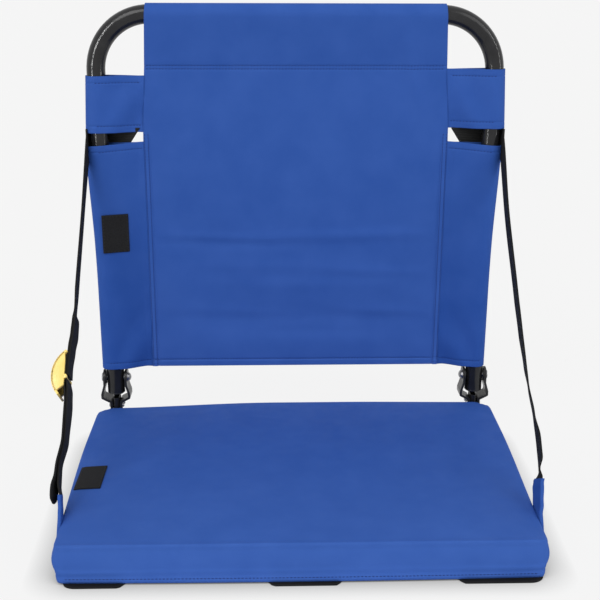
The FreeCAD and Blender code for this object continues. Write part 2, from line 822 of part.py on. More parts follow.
def loop_outlines(sketch, hub, reach, place, tail, over_top=False):
    """Draw a loop's two outlines: round the hub, then straight to where the layers meet.
    The joined layers run on as a tail. place turns (along, across) from the hub into the
    sketch's coordinates. A loop that goes over the top is drawn the other way round."""
    lean, stand = loop_lie(reach)
    joined = size("cloth_wall") / stand
    finish = reach + tail
    outer = [
        place(-(loop_outer * lean), -(loop_outer * stand)),
        place(-(loop_outer * lean), loop_outer * stand),
        place(-reach, joined),
        place(-finish, joined),
        place(-finish, -joined),
        place(-reach, -joined),
    ]
    inner = [
        place(-(loop_inner * lean), -(loop_inner * stand)),
        place(-(loop_inner * lean), loop_inner * stand),
        place(-reach, as_size(0)),
    ]
    for outline, radius in ((outer, loop_outer), (inner, loop_inner)):
        arc_start = 0
        if over_top:
            outline.reverse()
            arc_start = len(outline) - 2
        draw_outline(sketch, outline, arcs={arc_start: (hub, radius)})


sleeve = new_body("BackSleeve")
sleeve_sketch = new_sketch(sleeve, "SleeveLoop", "YZ_Plane")
sleeve_hub = (back_y, arch_top)
loop_outlines(
    sleeve_sketch,
    sleeve_hub,
    size("sleeve_taper"),
    lambda along, across: (back_y + across, arch_top + along),
    arch_top - size("sleeve_taper") - pivot_z - size("sleeve_rise"),
    over_top=True,
)
sleeve_half = tube_x - size("wing_reach")
pad(sleeve, sleeve_sketch, sleeve_half * 2, symmetric=True)
flare_sketch = new_sketch(sleeve, "SleeveFlare", "XZ_Plane")
sleeve_top = arch_top + loop_outer + size("cloth_wall")
for turn in (-1, 1):
    draw_outline(
        flare_sketch,
        [
            (sleeve_half * turn, slot_top),
            ((sleeve_half + size("sleeve_flare")) * turn, slot_top),
            ((sleeve_half + size("sleeve_flare")) * turn, sleeve_top),
            ((sleeve_half - size("sleeve_flare")) * turn, sleeve_top),
        ],
    )
pocket_through(sleeve, flare_sketch)
keep(sleeve, "back_sleeve")

side_reach = size("wing_reach") - size("seam_gap") - size("seam_width")
for name, bottom, top in (
    ("upper_tab", slot_top, tab_top),
    ("lower_wing", pivot_z + size("wing_rise"), wing_top),
):
    loop = new_body(name.title().replace("_", ""))
    loop_sketch = new_sketch(loop, loop.Name + "Loop", "XY_Plane", bottom)
    loop_outlines(
        loop_sketch,
        (tube_x, back_y),
        side_reach,
        lambda along, across: (tube_x + along, back_y + across),
        size("seam_width"),
    )
    pad(loop, loop_sketch, top - bottom)
    keep(loop, f"back_{name}_right")
    mirrored(loop, f"back_{name}_left")

# Back patch: a hook square on the front layer of the left wing, which leans in to the seam
hook = new_body("BackHookPatch")
wing_lean, wing_stand = loop_lie(side_reach)
hook_middle = (size("back_patch_inset") - loop_outer * wing_lean) / wing_stand


def on_left_wing(along, height):
    """A place over the front layer of the left wing, from where it leaves the tube."""
    lift = loop_outer + height
    x = lift * wing_lean + along * wing_stand - tube_x
    y = back_y - lift * wing_stand + along * wing_lean
    return x, y


hook_low = wing_top - size("back_patch_drop") - size("back_patch_height") / 2
hook_sketch = new_sketch(hook, "HookSection", "XY_Plane", hook_low)
hook_near = hook_middle - size("back_patch_width") / 2
hook_far = hook_middle + size("back_patch_width") / 2
hook_foot = size("weld_gap")
hook_face = size("weld_gap") + size("patch_wall")
draw_outline(
    hook_sketch,
    [
        on_left_wing(hook_near, hook_foot),
        on_left_wing(hook_far, hook_foot),
        on_left_wing(hook_far, hook_face),
        on_left_wing(hook_near, hook_face),
    ],
)
pad(hook, hook_sketch, size("back_patch_height"))
keep(hook, "back_hook_patch")


# Side straps: webbing from behind each back tube, forward and down to a flap on the seat's side
strap_foot = Vector(0, strap_front.value, (flap_top - size("strap_overlap")).value)
strap_head = Vector(0, back_y.value, strap_top.value)
strap_length = (strap_head - strap_foot).Length
strap_along = (strap_head - strap_foot) / strap_length
strap_across = Vector(0, -strap_along.z, strap_along.y)
strap_half = size("strap_width").value / 2

# The straps lean outwards, from the back's cloth at the head to the cushion's side at the foot
foot_inner = size("seat_width") / 2 + size("strap_gap")
foot_outer = foot_inner + size("strap_wall")
strap_lean = math.degrees(math.asin((foot_inner - strap_inner).value / strap_length))
lean_hub = strap_head + Vector(strap_inner.value, 0, 0)


def ribbon(start, finish, inner, outer, side):
    """Flat webbing on the outside of the seat between two distances along the strap's line."""
    across = strap_across * strap_half
    low = strap_foot + strap_along * start
    high = strap_foot + strap_along * finish
    ring = [low - across, high - across, high + across, low + across, low - across]
    face = Part.Face(Part.makePolygon([point + Vector(inner, 0, 0) for point in ring]))
    solid = face.extrude(Vector(outer - inner, 0, 0))
    solid.rotate(lean_hub, strap_across, strap_lean)
    return solid if side > 0 else solid.mirror(Vector(), Vector(1, 0, 0))


def tube_wrap(side):
    """The strap's sewn end: from the outer side round behind the tube, then along the cloth."""
    lean, stand = wing_lean.value, wing_stand.value
    hub = Vector(tube_x.value, back_y.value, strap_top.value - strap_half)
    near = strap_inner.value - tube_x.value
    far = strap_outer.value - tube_x.value
    out = Vector(-lean, stand, 0)
    run = Vector(-stand, -lean, 0) * size("strap_band").value
    half_way = (out + Vector(1, 0, 0)).normalize()
    front = Vector(0, -strap_half, 0)
    edges = [
        Part.makeLine(hub + Vector(near, 0, 0) + front, hub + Vector(near, 0, 0)),
        Part.Arc(hub + Vector(near, 0, 0), hub + half_way * near, hub + out * near).toShape(),
        Part.makeLine(hub + out * near, hub + out * near + run),
        Part.makeLine(hub + out * near + run, hub + out * far + run),
        Part.makeLine(hub + out * far + run, hub + out * far),
        Part.Arc(hub + out * far, hub + half_way * far, hub + Vector(far, 0, 0)).toShape(),
        Part.makeLine(hub + Vector(far, 0, 0), hub + Vector(far, 0, 0) + front),
        Part.makeLine(hub + Vector(far, 0, 0) + front, hub + Vector(near, 0, 0) + front),
    ]
    solid = Part.Face(Part.Wire(edges)).extrude(Vector(0, 0, 2 * strap_half))
    return solid if side > 0 else solid.mirror(Vector(), Vector(1, 0, 0))


near_x = strap_inner.value
far_x = strap_outer.value
right_strap = ribbon(0, strap_length, near_x, far_x, 1).fuse(tube_wrap(1))
shaped("strap_right", right_strap.removeSplitter())
bar_place = strap_length - size("buckle_from_top").value
bar_room = size("buckle_bar").value / 2 + size("soft_gap").value
upper_strap = ribbon(bar_place + bar_room, strap_length, near_x, far_x, -1).fuse(tube_wrap(-1))
shaped("strap_upper_left", upper_strap.removeSplitter())

# The lower left strap passes through the buckle and hangs on as a loose tail
lower_strap = ribbon(0, bar_place - bar_room, near_x, far_x, -1)
tail_x = far_x + size("strap_wall").value
tail_far = tail_x + size("strap_wall").value
tail_top = bar_place - bar_room - size("strap_wall").value
tail = ribbon(bar_place - size("tail_length").value, tail_top, tail_x, tail_far, -1)
tail.rotate(strap_foot + strap_along * tail_top, Vector(1, 0, 0), -size("tail_spread").value)
turn_back = ribbon(tail_top - size("strap_wall").value, bar_place - bar_room, near_x, tail_far, -1)
shaped("strap_lower_left", lower_strap.fuse([tail, turn_back]).removeSplitter())

# Flaps: cloth tabs on the seat's sides that hold the straps' lower ends
flap = new_body("SeatFlap")
flap_sketch = new_sketch(flap, "FlapOutline", "YZ_Plane", foot_outer + size("weld_gap"))
flap_half = size("flap_width") / 2
flap_lean = flap_half / 2


def draw_flap(sketch, top):
    """The flap's leaning outline, from its sewn bottom edge up to this height."""
    share = (top - size("flap_bottom")) / (flap_top - size("flap_bottom"))
    draw_outline(
        sketch,
        [
            (strap_front - flap_half, size("flap_bottom")),
            (strap_front + flap_half, size("flap_bottom")),
            (strap_front + flap_half + flap_lean * 2 * share, top),
            (strap_front - flap_half + flap_lean * 3 * share, top),
        ],
    )


draw_flap(flap_sketch, flap_top)
pad(flap, flap_sketch, size("flap_wall"))
hem_x = size("seat_width") / 2 + size("weld_gap")
hem_sketch = new_sketch(flap, "FlapHem", "YZ_Plane", hem_x)
draw_flap(hem_sketch, size("flap_bottom") + size("flap_hem"))
pad(flap, hem_sketch, foot_outer + size("weld_gap") + size("flap_wall") - hem_x)
keep(flap, "seat_flap_right")
mirrored(flap, "seat_flap_left")

# Ladder lock: a moulded leaf on the left strap, with two cheeks and a cross bar for the webbing.
# Its own X points away from the seat, Y runs up the strap and Z across it.
lock = new_body("LadderLock")
lock_width = size("strap_width") + (size("soft_gap") + size("buckle_cheek")) * 2
leaf_near = size("soft_gap")
leaf_far = size("strap_wall") * 2 + size("soft_gap")
leaf_up = size("buckle_rise")
leaf_down = size("buckle_drop")
bar_half = size("buckle_bar") / 2
throat = bar_half + size("soft_gap")
bulge = size("buckle_bulge")
leaf_length = leaf_up + leaf_down
leaf_slant = leaf_far - leaf_near
leaf_chord = root(leaf_length * leaf_length + leaf_slant * leaf_slant)
leaf_radius = (leaf_chord * leaf_chord / 4 + bulge * bulge) / (bulge * 2)
hub_share = (leaf_radius - bulge) / leaf_chord
leaf_hub = (
    (leaf_near + leaf_far) / 2 - leaf_length * hub_share,
    (leaf_up - leaf_down) / 2 - leaf_slant * hub_share,
)
leaf = new_sketch(lock, "LeafProfile", "XY_Plane")
draw_outline(
    leaf,
    [(leaf_near, leaf_up), (leaf_near, throat), (leaf_far, -throat), (leaf_far, -leaf_down)],
    arcs={3: (leaf_hub, leaf_radius)},
)
pad(lock, leaf, lock_width, symmetric=True)
bar_sketch = new_sketch(lock, "CrossBar", "XY_Plane")
draw_circle(bar_sketch, (0, 0), size("buckle_bar"))
pad(lock, bar_sketch, lock_width, symmetric=True)
for name, edge_z in (("Front", size("strap_width") / 2 + size("soft_gap")), ("Rear", -(lock_width / 2))):
    cheek = new_sketch(lock, f"Cheek{name}", "XY_Plane", edge_z)
    cheek_half = size("buckle_bar")
    cheek_far = leaf_far + bulge / 2
    draw_outline(
        cheek,
        [
            (0, -cheek_half),
            (cheek_far, -cheek_half),
            (cheek_far, cheek_half),
            (0, cheek_half),
        ],
    )
    pad(lock, cheek, size("buckle_cheek"))
outward = Vector(-1, 0, 0)
lock_turn = Rotation(outward, strap_along, outward.cross(strap_along), "XYZ")
left_lean = Rotation(strap_across, -strap_lean)
left_hub = strap_head + outward * near_x
lock_offset = strap_foot + strap_along * bar_place + outward * far_x - left_hub
lock.Placement = Placement(left_hub + left_lean.multVec(lock_offset), left_lean.multiply(lock_turn))
keep(lock, "ladder_lock")

doc.recompute()
for item in doc.Objects:
    if "Invalid" in item.State or "Error" in item.State:
        raise ValueError(f"{item.Name} failed: {item.State}")
for piece in subparts:
    if piece.Shape.isNull() or not piece.Shape.isValid() or not piece.Shape.Solids:
        raise ValueError(f"{piece.Label} has no sound shape")

os.makedirs("parts", exist_ok=True)
for piece in subparts:
    piece.Shape.exportStep(f"parts/{piece.Label}.step")
print(f"{len(subparts)} sub-parts written")
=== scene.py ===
import math

import bmesh
import bpy
from mathutils import Matrix, Vector


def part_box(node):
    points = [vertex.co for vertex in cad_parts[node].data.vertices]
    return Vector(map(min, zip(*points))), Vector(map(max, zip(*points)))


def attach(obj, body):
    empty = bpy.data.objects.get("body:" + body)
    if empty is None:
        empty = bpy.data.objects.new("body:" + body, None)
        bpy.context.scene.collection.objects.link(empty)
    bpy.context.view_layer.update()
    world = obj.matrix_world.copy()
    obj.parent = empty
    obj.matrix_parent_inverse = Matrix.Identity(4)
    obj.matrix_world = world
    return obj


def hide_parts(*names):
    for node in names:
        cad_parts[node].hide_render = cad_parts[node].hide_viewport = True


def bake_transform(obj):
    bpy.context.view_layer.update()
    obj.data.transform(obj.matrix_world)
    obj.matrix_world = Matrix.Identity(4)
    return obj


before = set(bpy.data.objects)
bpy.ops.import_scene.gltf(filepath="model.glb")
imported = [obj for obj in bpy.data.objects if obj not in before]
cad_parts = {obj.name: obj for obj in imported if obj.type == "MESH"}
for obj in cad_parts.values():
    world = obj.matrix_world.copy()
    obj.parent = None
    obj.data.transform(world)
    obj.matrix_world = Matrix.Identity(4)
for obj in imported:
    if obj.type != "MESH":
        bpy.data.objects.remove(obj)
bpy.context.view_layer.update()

# Camera: stands in front of the seat, above its top edge and a little left of its middle.
# Its place and lens come from fitting the straight edges of the cushion and the back.
FRAME_PX = 600
FOCAL_PX = 1026
SENSOR_MM = 36
QUARTER = math.pi / 2
CAMERA_PLACE = Vector((-0.027, -0.910, 0.501))
CAMERA_YAW = math.radians(-1.7)
CAMERA_PITCH = math.radians(-17.9)
CAMERA_ROLL = math.radians(-0.2)
camera_turn = Matrix.Rotation(CAMERA_YAW, 3, "Z") @ Matrix.Rotation(CAMERA_PITCH, 3, "X")
camera_turn = camera_turn @ Matrix.Rotation(CAMERA_ROLL, 3, "Y") @ Matrix.Rotation(QUARTER, 3, "X")
bpy.ops.object.camera_add(location=CAMERA_PLACE, rotation=camera_turn.to_euler())
camera = bpy.context.object
camera.data.sensor_width = SENSOR_MM
camera.data.lens = FOCAL_PX * SENSOR_MM / FRAME_PX
bpy.context.scene.camera = camera
bpy.context.scene.view_settings.view_transform = "Standard"

# Studio: a wide white floor under an even white sky, with two broad soft lamps in front.
# Two tall narrow lamps at the sides only draw bright lines along the glossy tubes.
# The floor glows like a light table, so only the soft shadow close to the cushion shows on it, and that
# shadow is painted into the glow by an occlusion test.
FLOOR_SIZE = 60
PAPER_WHITE = 0.913
PAPER_MATTE = 0.9
FLOOR_GLOW = 0.95
SHADOW_REACH = 0.03
SKY_LIGHT = 0.70
LAMP_SPREAD = math.radians(35)
# name, strength, tilt and swing in degrees
LAMPS = (("front_lamp", 1.15, 48, -28), ("side_lamp", 0.5, 55, 50))
# name, power in watts, swing in degrees
STRIPS = (("left_strip", 32, -47), ("right_strip", 9, 72))
STRIP_WIDE = 0.09
STRIP_TALL = 1.6
STRIP_AWAY = 2.2


def add_node(tree, kind, sockets=None, **settings):
    """Add a shader node, set it up, and fill its sockets with values or other nodes' outputs."""
    node = tree.nodes.new("ShaderNode" + kind)
    for name, value in settings.items():
        setattr(node, name, value)
    for key, value in (sockets or {}).items():
        if isinstance(value, bpy.types.NodeSocket):
            tree.links.new(value, node.inputs[key])
        else:
            node.inputs[key].default_value = value
    return node


def worked(tree, operation, *values):
    """A value worked out from others."""
    return add_node(tree, "Math", dict(enumerate(values)), operation=operation).outputs[0]


def mapped(tree, value, start, end, at_start, at_end, **settings):
    """A value that goes between two levels as another goes from start to end."""
    span = {"Value": value, "From Min": start, "From Max": end, "To Min": at_start, "To Max": at_end}
    return add_node(tree, "MapRange", span, **settings).outputs["Result"]


def seen_directly(tree):
    """1 where a ray comes from the camera, a reflection or through glass, and 0 elsewhere."""
    path = add_node(tree, "LightPath").outputs
    passed = worked(tree, "MAXIMUM", path["Is Glossy Ray"], path["Is Transmission Ray"])
    return worked(tree, "MAXIMUM", path["Is Camera Ray"], passed)


def grey(level):
    return (level, level, level, 1)


def add_lamp(kind, name, strength, **place):
    bpy.ops.object.light_add(type=kind, **place)
    lamp = bpy.context.object
    lamp.name = name
    lamp.data.energy = strength
    return lamp


sky = bpy.data.worlds.new("studio_sky")
sky.use_nodes = True
bpy.context.scene.world = sky
sky_tree = sky.node_tree
sky_level = mapped(sky_tree, seen_directly(sky_tree), 0, 1, SKY_LIGHT, PAPER_WHITE)
sky_tone = sky_tree.nodes["Background"]
sky_tone.inputs["Color"].default_value = grey(1)
sky_tree.links.new(sky_level, sky_tone.inputs["Strength"])

for name, strength, tilt, swing in LAMPS:
    lamp = add_lamp("SUN", name, strength, rotation=(math.radians(tilt), 0, math.radians(swing)))
    lamp.data.angle = LAMP_SPREAD

for name, strength, swing in STRIPS:
    turn = math.radians(swing)
    place = (math.sin(turn) * STRIP_AWAY, -math.cos(turn) * STRIP_AWAY, STRIP_TALL / 2)
    lamp = add_lamp("AREA", name, strength, location=place, rotation=(QUARTER, 0, turn))
    lamp.data.shape = "RECTANGLE"
    lamp.data.size = STRIP_WIDE
    lamp.data.size_y = STRIP_TALL
    lamp.visible_camera = False
    lamp.visible_diffuse = False

bpy.ops.mesh.primitive_plane_add(size=FLOOR_SIZE)
floor = bpy.context.object
floor.name = "studio_floor"
paper = bpy.data.materials.new("studio_paper")
paper.use_nodes = True
paper_tree = paper.node_tree
paper_matte = add_node(paper_tree, "BsdfDiffuse", {"Color": grey(PAPER_MATTE)})
paper_tone = {"Color": grey(PAPER_WHITE), "Distance": SHADOW_REACH}
# Painted shadow: the glow's colour is darkened where the cushion and back crowd the floor, within the
# shadow's reach.
painted_floor_shadow = add_node(paper_tree, "AmbientOcclusion", paper_tone)
paper_glow = add_node(paper_tree, "Emission", {"Color": painted_floor_shadow.outputs["Color"]})
paper_share = worked(paper_tree, "MULTIPLY", seen_directly(paper_tree), FLOOR_GLOW)
paper_parts = {0: paper_share, 1: paper_matte.outputs[0], 2: paper_glow.outputs[0]}
paper_mix = add_node(paper_tree, "MixShader", paper_parts)
paper_tree.links.new(paper_mix.outputs[0], paper_tree.nodes["Material Output"].inputs["Surface"])
floor.data.materials.append(paper)

# Frame inside the seat: a bent steel tube with crimped tongues, its crossbar, and a hardboard panel.
# The tubes are enamelled black; the board is raw and held by plated countersunk screws.
MM = 0.001
NOISE_SPAN = (0.3, 0.7)
MIX_FROM = 6
MIX_TO = 7
MIX_COLOUR = 2
ENAMEL_SHINE = 0.32


def new_finish(name):
    """A new material, its node tree and its main shader."""
    finish = bpy.data.materials.new(name)
    finish.use_nodes = True
    return finish, finish.node_tree, finish.node_tree.nodes["Principled BSDF"]


def mottled(tree, fineness, low=0, high=1, detail=4):
    """A value that wanders between two levels over the piece; fineness is in waves per metre."""
    place = add_node(tree, "TexCoord").outputs["Object"]
    noise = add_node(tree, "TexNoise", {"Vector": place, "Scale": fineness, "Detail": detail})
    return mapped(tree, noise.outputs["Fac"], *NOISE_SPAN, low, high)


def two_tone(tree, level, dark, light):
    """A colour that goes from dark to light as the level goes from 0 to 1."""
    ends = {0: level, MIX_FROM: (*dark, 1), MIX_TO: (*light, 1)}
    return add_node(tree, "Mix", ends, data_type="RGBA", clamp_factor=False).outputs[MIX_COLOUR]


def raised(tree, surface, height, distance, strength=1.0):
    """Let a height stand out of the surface by a distance in metres."""
    bump = add_node(tree, "Bump", {"Height": height, "Distance": distance, "Strength": strength})
    tree.links.new(bump.outputs["Normal"], surface.inputs["Normal"])


def hard_finish(name, dark, light, tone, gloss, smooth, dull, grain, depth, detail=4):
    """A hard surface: uneven colour and gloss over a grain that stands out by a depth.
    Tone, gloss and grain say how finely each varies, in waves per metre."""
    finish, tree, surface = new_finish(name)
    tree.links.new(two_tone(tree, mottled(tree, tone), dark, light), surface.inputs["Base Color"])
    tree.links.new(mottled(tree, gloss, smooth, dull), surface.inputs["Roughness"])
    raised(tree, surface, mottled(tree, grain, detail=detail), depth)
    return finish, surface


def fibrous(name, dark, light, grain, detail, dull, depth, shine=0.5):
    """Pressed fibres, thread or tufts: one grain, in waves per metre, gives both tone and relief."""
    finish, tree, surface = new_finish(name)
    fibres = mottled(tree, grain, detail=detail)
    tree.links.new(two_tone(tree, fibres, dark, light), surface.inputs["Base Color"])
    surface.inputs["Roughness"].default_value = dull
    surface.inputs["Specular IOR Level"].default_value = shine
    raised(tree, surface, fibres, depth)
    return finish


def enamel(name, dark, light, smooth, dull):
    """Sprayed enamel: slightly uneven gloss, orange peel and faint dust."""
    finish, surface = hard_finish(name, dark, light, tone=60, gloss=140, smooth=smooth, dull=dull,
                                  grain=900, depth=0.04 * MM, detail=2)
    surface.inputs["Specular IOR Level"].default_value = ENAMEL_SHINE
    return finish


def dress(finish, *names):
    """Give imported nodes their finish."""
    for name in names:
        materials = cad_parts[name].data.materials
        materials.clear()
        materials.append(finish)


tube_enamel = enamel("black_tube_enamel", dark=(0.008, 0.008, 0.009), light=(0.016, 0.016, 0.017),
                     smooth=0.10, dull=0.16)
dress(tube_enamel, "seat_frame_tube", "seat_rear_crossbar")

hardboard = fibrous("pressed_hardboard", dark=(0.14, 0.08, 0.04), light=(0.26, 0.16, 0.08),
                    grain=700, detail=8, dull=0.75, depth=0.1 * MM)
dress(hardboard, "seat_board")

rivet_steel, rivet_surface = hard_finish(
    "dark_rivet_steel", dark=(0.16, 0.16, 0.17), light=(0.28, 0.28, 0.29),
    tone=300, gloss=500, smooth=0.24, dull=0.42, grain=2500, depth=0.02 * MM)
rivet_surface.inputs["Metallic"].default_value = 1
dress(rivet_steel, "board_screws")

# Cushion: a foam block in a boxed cover of blue coated cloth, stitched along a hem near the floor.
# The pressed foam swells the cover between its seams, and the front edge has a sharp sewn crease.
# The cover widens a little to the rear, where it is loosest and stands highest.
BLUE_DARK = (0.022, 0.075, 0.318)
BLUE_LIGHT = (0.038, 0.104, 0.388)
# Painted light: the seat cloth's colour is painted lighter towards the front edge and darker to the rear.
SEAT_PAINTED_LIGHT = ("Y", -0.155, 0.110, 0.60, 0.02)
CLOTH_YARN = 0.9 * MM
YARN_TONE = 0.18
YARN_DEPTH = 0.06 * MM
YARN_RELIEF = 0.7
CLOTH_SHINE = 0.05
CROWN = 2.5 * MM
FRONT_CORNER = 5 * MM
REAR_CORNER = 16 * MM
RIM_ROUND = 2.5 * MM
FACING_UP = 0.9
FOAM_VOXEL = 4 * MM
FOAM_PRESSURE = 4
SWELL_LIMIT = 4.5 * MM
SEAM_HOLD = 4 * MM
SIM_FRAMES = 20
HALF_FRONT = 212 * MM
HALF_REAR = 218 * MM
WIDEN_SPAN = (-150 * MM, 70 * MM)
CUSHION_SHIFT = -1.5 * MM
CUSHION_FRONT = 145.5 * MM
REAR_LOW = -1 * MM
REAR_RISE = 5.5 * MM
REAR_DROP = 1.5 * MM
SIDE_BULGE = 3 * MM
BULGE_LEVEL = 20 * MM
BULGE_SPREAD = 10 * MM
RIM_SPAN = 6 * MM
HEM_LEVEL = 10 * MM
HEM_GROOVE = 1.6 * MM
HEM_SPREAD = 1.8 * MM
HEM_FLARE = 1.5 * MM
FRONT_FLARE = 2 * MM
FLARE_LEVEL = 13 * MM
DIMPLE = 0.6 * MM
DIMPLE_ACROSS = 37
DIMPLE_ALONG = 29
DIMPLE_START = 0.8
# how square each edge is sewn, from 0 for round to 1
FRONT_SQUARE = 0.85
REAR_SQUARE = 0.5
SIDE_SQUARE = 0.6
HEM_SQUARE = 0.9
# shares of the half depth, the half width or the height
END_SPAN = (0.93, 0.985)
FLANK_SPAN = (0.95, 0.99)
TOP_SPAN = (0.8, 1)
RISE_SPAN = (-1, -0.1)
DROP_SPAN = (0.25, 1)
REAR_SPAN = (-0.4, 1)
cover_low, cover_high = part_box("seat_cover")
rim_level = cover_high.z - CROWN


def sine_waves(tree, place, turns):
    """The sines of a place's three coordinates, each after its own turns in radians."""
    turned = add_node(tree, "VectorMath", {0: place, 1: turns}, operation="MULTIPLY").outputs[0]
    sines = add_node(tree, "VectorMath", {0: turned}, operation="SINE").outputs[0]
    return add_node(tree, "SeparateXYZ", {0: sines}).outputs


def woven(name, dark, light, painted_shading=None):
    """Coated plain weave: crossing yarns on whichever way the cloth faces, with soft wear.
    Painted shading is an axis, two places on it and how much lighter the colour is painted at each: painted
    light above zero, painted shade below."""
    finish, tree, surface = new_finish(name)
    spot = add_node(tree, "TexCoord").outputs
    yarns = sine_waves(tree, spot["Object"], [2 * math.pi / CLOTH_YARN] * 3)
    pairs = (("Y", "Z"), ("X", "Z"), ("X", "Y"))
    products = [worked(tree, "MULTIPLY", yarns[first], yarns[second]) for first, second in pairs]
    crossings = add_node(tree, "CombineXYZ", dict(enumerate(products))).outputs[0]
    facing = add_node(tree, "VectorMath", {0: spot["Normal"]}, operation="ABSOLUTE").outputs[0]
    weave = add_node(tree, "VectorMath", {0: facing, 1: crossings}, operation="DOT_PRODUCT").outputs["Value"]
    wear_and_painted_shading = mottled(tree, fineness=35, low=0.3, high=0.7, detail=6)
    # Painted light or painted shade: the colour is made lighter or darker along one axis of the piece.
    if painted_shading:
        axis, *span = painted_shading
        place = add_node(tree, "SeparateXYZ", {0: spot["Object"]}).outputs[axis]
        wear_and_painted_shading = worked(tree, "ADD", wear_and_painted_shading, mapped(tree, place, *span, interpolation_type="SMOOTHSTEP"))
    level = worked(tree, "MULTIPLY_ADD", weave, YARN_TONE, wear_and_painted_shading)
    tree.links.new(two_tone(tree, level, dark, light), surface.inputs["Base Color"])
    tree.links.new(mottled(tree, fineness=90, low=0.55, high=0.7), surface.inputs["Roughness"])
    surface.inputs["Specular IOR Level"].default_value = CLOTH_SHINE
    raised(tree, surface, weave, YARN_DEPTH, YARN_RELIEF)
    return finish


def clear_selection():
    bpy.ops.object.select_all(action="DESELECT")


def only(piece):
    """Select one piece alone and make it the one that operators act on."""
    clear_selection()
    piece.select_set(True)
    bpy.context.view_layer.objects.active = piece


def fresh(name, finish, scale=(1, 1, 1)):
    """Take the primitive just added as a new piece, at its size and with its place in its mesh."""
    piece = bpy.context.object
    piece.name = name
    piece.data.name = name
    piece.scale = scale
    only(piece)
    bpy.ops.object.transform_apply(location=True, rotation=True, scale=True)
    piece.data.materials.append(finish)
    return piece


def finish_with(piece, kind, **settings):
    """Add a modifier to a piece, set it up and apply it."""
    only(piece)
    modifier = piece.modifiers.new(kind.title(), kind)
    for name, value in settings.items():
        setattr(modifier, name, value)
    bpy.ops.object.modifier_apply(modifier=modifier.name)


def pick(piece, part, test):
    """In edit mode, select only the verts, edges or faces that pass a test."""
    bpy.ops.mesh.select_mode(type={"verts": "VERT", "edges": "EDGE", "faces": "FACE"}[part])
    bpy.ops.mesh.select_all(action="DESELECT")
    form = bmesh.from_edit_mesh(piece.data)
    for item in getattr(form, part):
        item.select_set(test(item))
    form.select_flush_mode()
    bmesh.update_edit_mesh(piece.data)


def smoothed(piece, crease=None):
    """Shade a piece smooth, all over or only across edges below the angle of a crease, in degrees."""
    only(piece)
    if crease is None:
        bpy.ops.object.shade_smooth()
    else:
        bpy.ops.object.shade_smooth_by_angle(angle=math.radians(crease))


def part_way(low, high, value):
    """How far a value has come from low to high, from 0 to 1."""
    return min(max((value - low) / (high - low), 0), 1)


def ramp(low, high, value):
    """0 below low, 1 above high, and a smooth rise between."""
    share = part_way(low, high, value)
    return share * share * (3 - 2 * share)


def upright(edge, least=MM):
    return abs(edge.verts[0].co.z - edge.verts[1].co.z) > least


seat_cloth = woven("blue_seat_cloth", BLUE_DARK, BLUE_LIGHT, SEAT_PAINTED_LIGHT)
block_size = cover_high - cover_low - Vector((0, 0, CROWN))
block_middle = (cover_low + cover_high) / 2 - Vector((0, 0, CROWN / 2))
clear_selection()
bpy.ops.mesh.primitive_cube_add(size=1, location=block_middle)
cushion = fresh("seat_cushion", seat_cloth, block_size)
bpy.ops.object.mode_set(mode="EDIT")
pick(cushion, "edges", lambda edge: upright(edge) and edge.verts[0].co.y < 0)
bpy.ops.mesh.bevel(offset=FRONT_CORNER, segments=5, affect="EDGES")
pick(cushion, "edges", lambda edge: upright(edge) and edge.verts[0].co.y > 0)
bpy.ops.mesh.bevel(offset=REAR_CORNER, segments=8, affect="EDGES")
pick(cushion, "faces", lambda face: face.normal.z > FACING_UP)
bpy.ops.mesh.bevel(offset=RIM_ROUND, segments=3, affect="EDGES")
bpy.ops.object.mode_set(mode="OBJECT")
finish_with(cushion, "REMESH", mode="VOXEL", voxel_size=FOAM_VOXEL)


def on_seam(place):
    """Whether a place is on the hem or on the sewn rim of the top, which hold the cover still."""
    inset = max(abs(place.x) - block_size.x / 2, abs(place.y) - block_size.y / 2)
    return place.z < HEM_LEVEL or (place.z > rim_level - SEAM_HOLD and inset > -SEAM_HOLD)


before = [vertex.co.copy() for vertex in cushion.data.vertices]
seams = cushion.vertex_groups.new(name="seams")
seams.add([v.index for v in cushion.data.vertices if on_seam(v.co)], 1, "REPLACE")
only(cushion)
filling = cushion.modifiers.new("Filling", "CLOTH")
filling.settings.use_pressure = True
filling.settings.uniform_pressure_force = FOAM_PRESSURE
filling.settings.vertex_group_mass = "seams"
filling.settings.effector_weights.gravity = 0
for step in range(1, SIM_FRAMES + 1):
    bpy.context.scene.frame_set(step)
bpy.ops.object.modifier_apply(modifier=filling.name)
bpy.context.scene.frame_set(1)
for vertex, start in zip(cushion.data.vertices, before):
    move = vertex.co - start
    vertex.co = start + move * (SWELL_LIMIT / (SWELL_LIMIT + move.length))
finish_with(cushion, "SUBSURF", levels=1, render_levels=1)


def squared(place, reach, up, square):
    """Draw a rounded rim out towards a square edge at a reach.
    Up is the height over the level where the rounding starts; both come back moved."""
    out = abs(place) - (reach - RIM_SPAN)
    if out <= 0 or up <= 0:
        return place, up
    stretch = (math.hypot(out, up) / max(out, up)) ** square
    return math.copysign(reach - RIM_SPAN + out * stretch, place), up * stretch


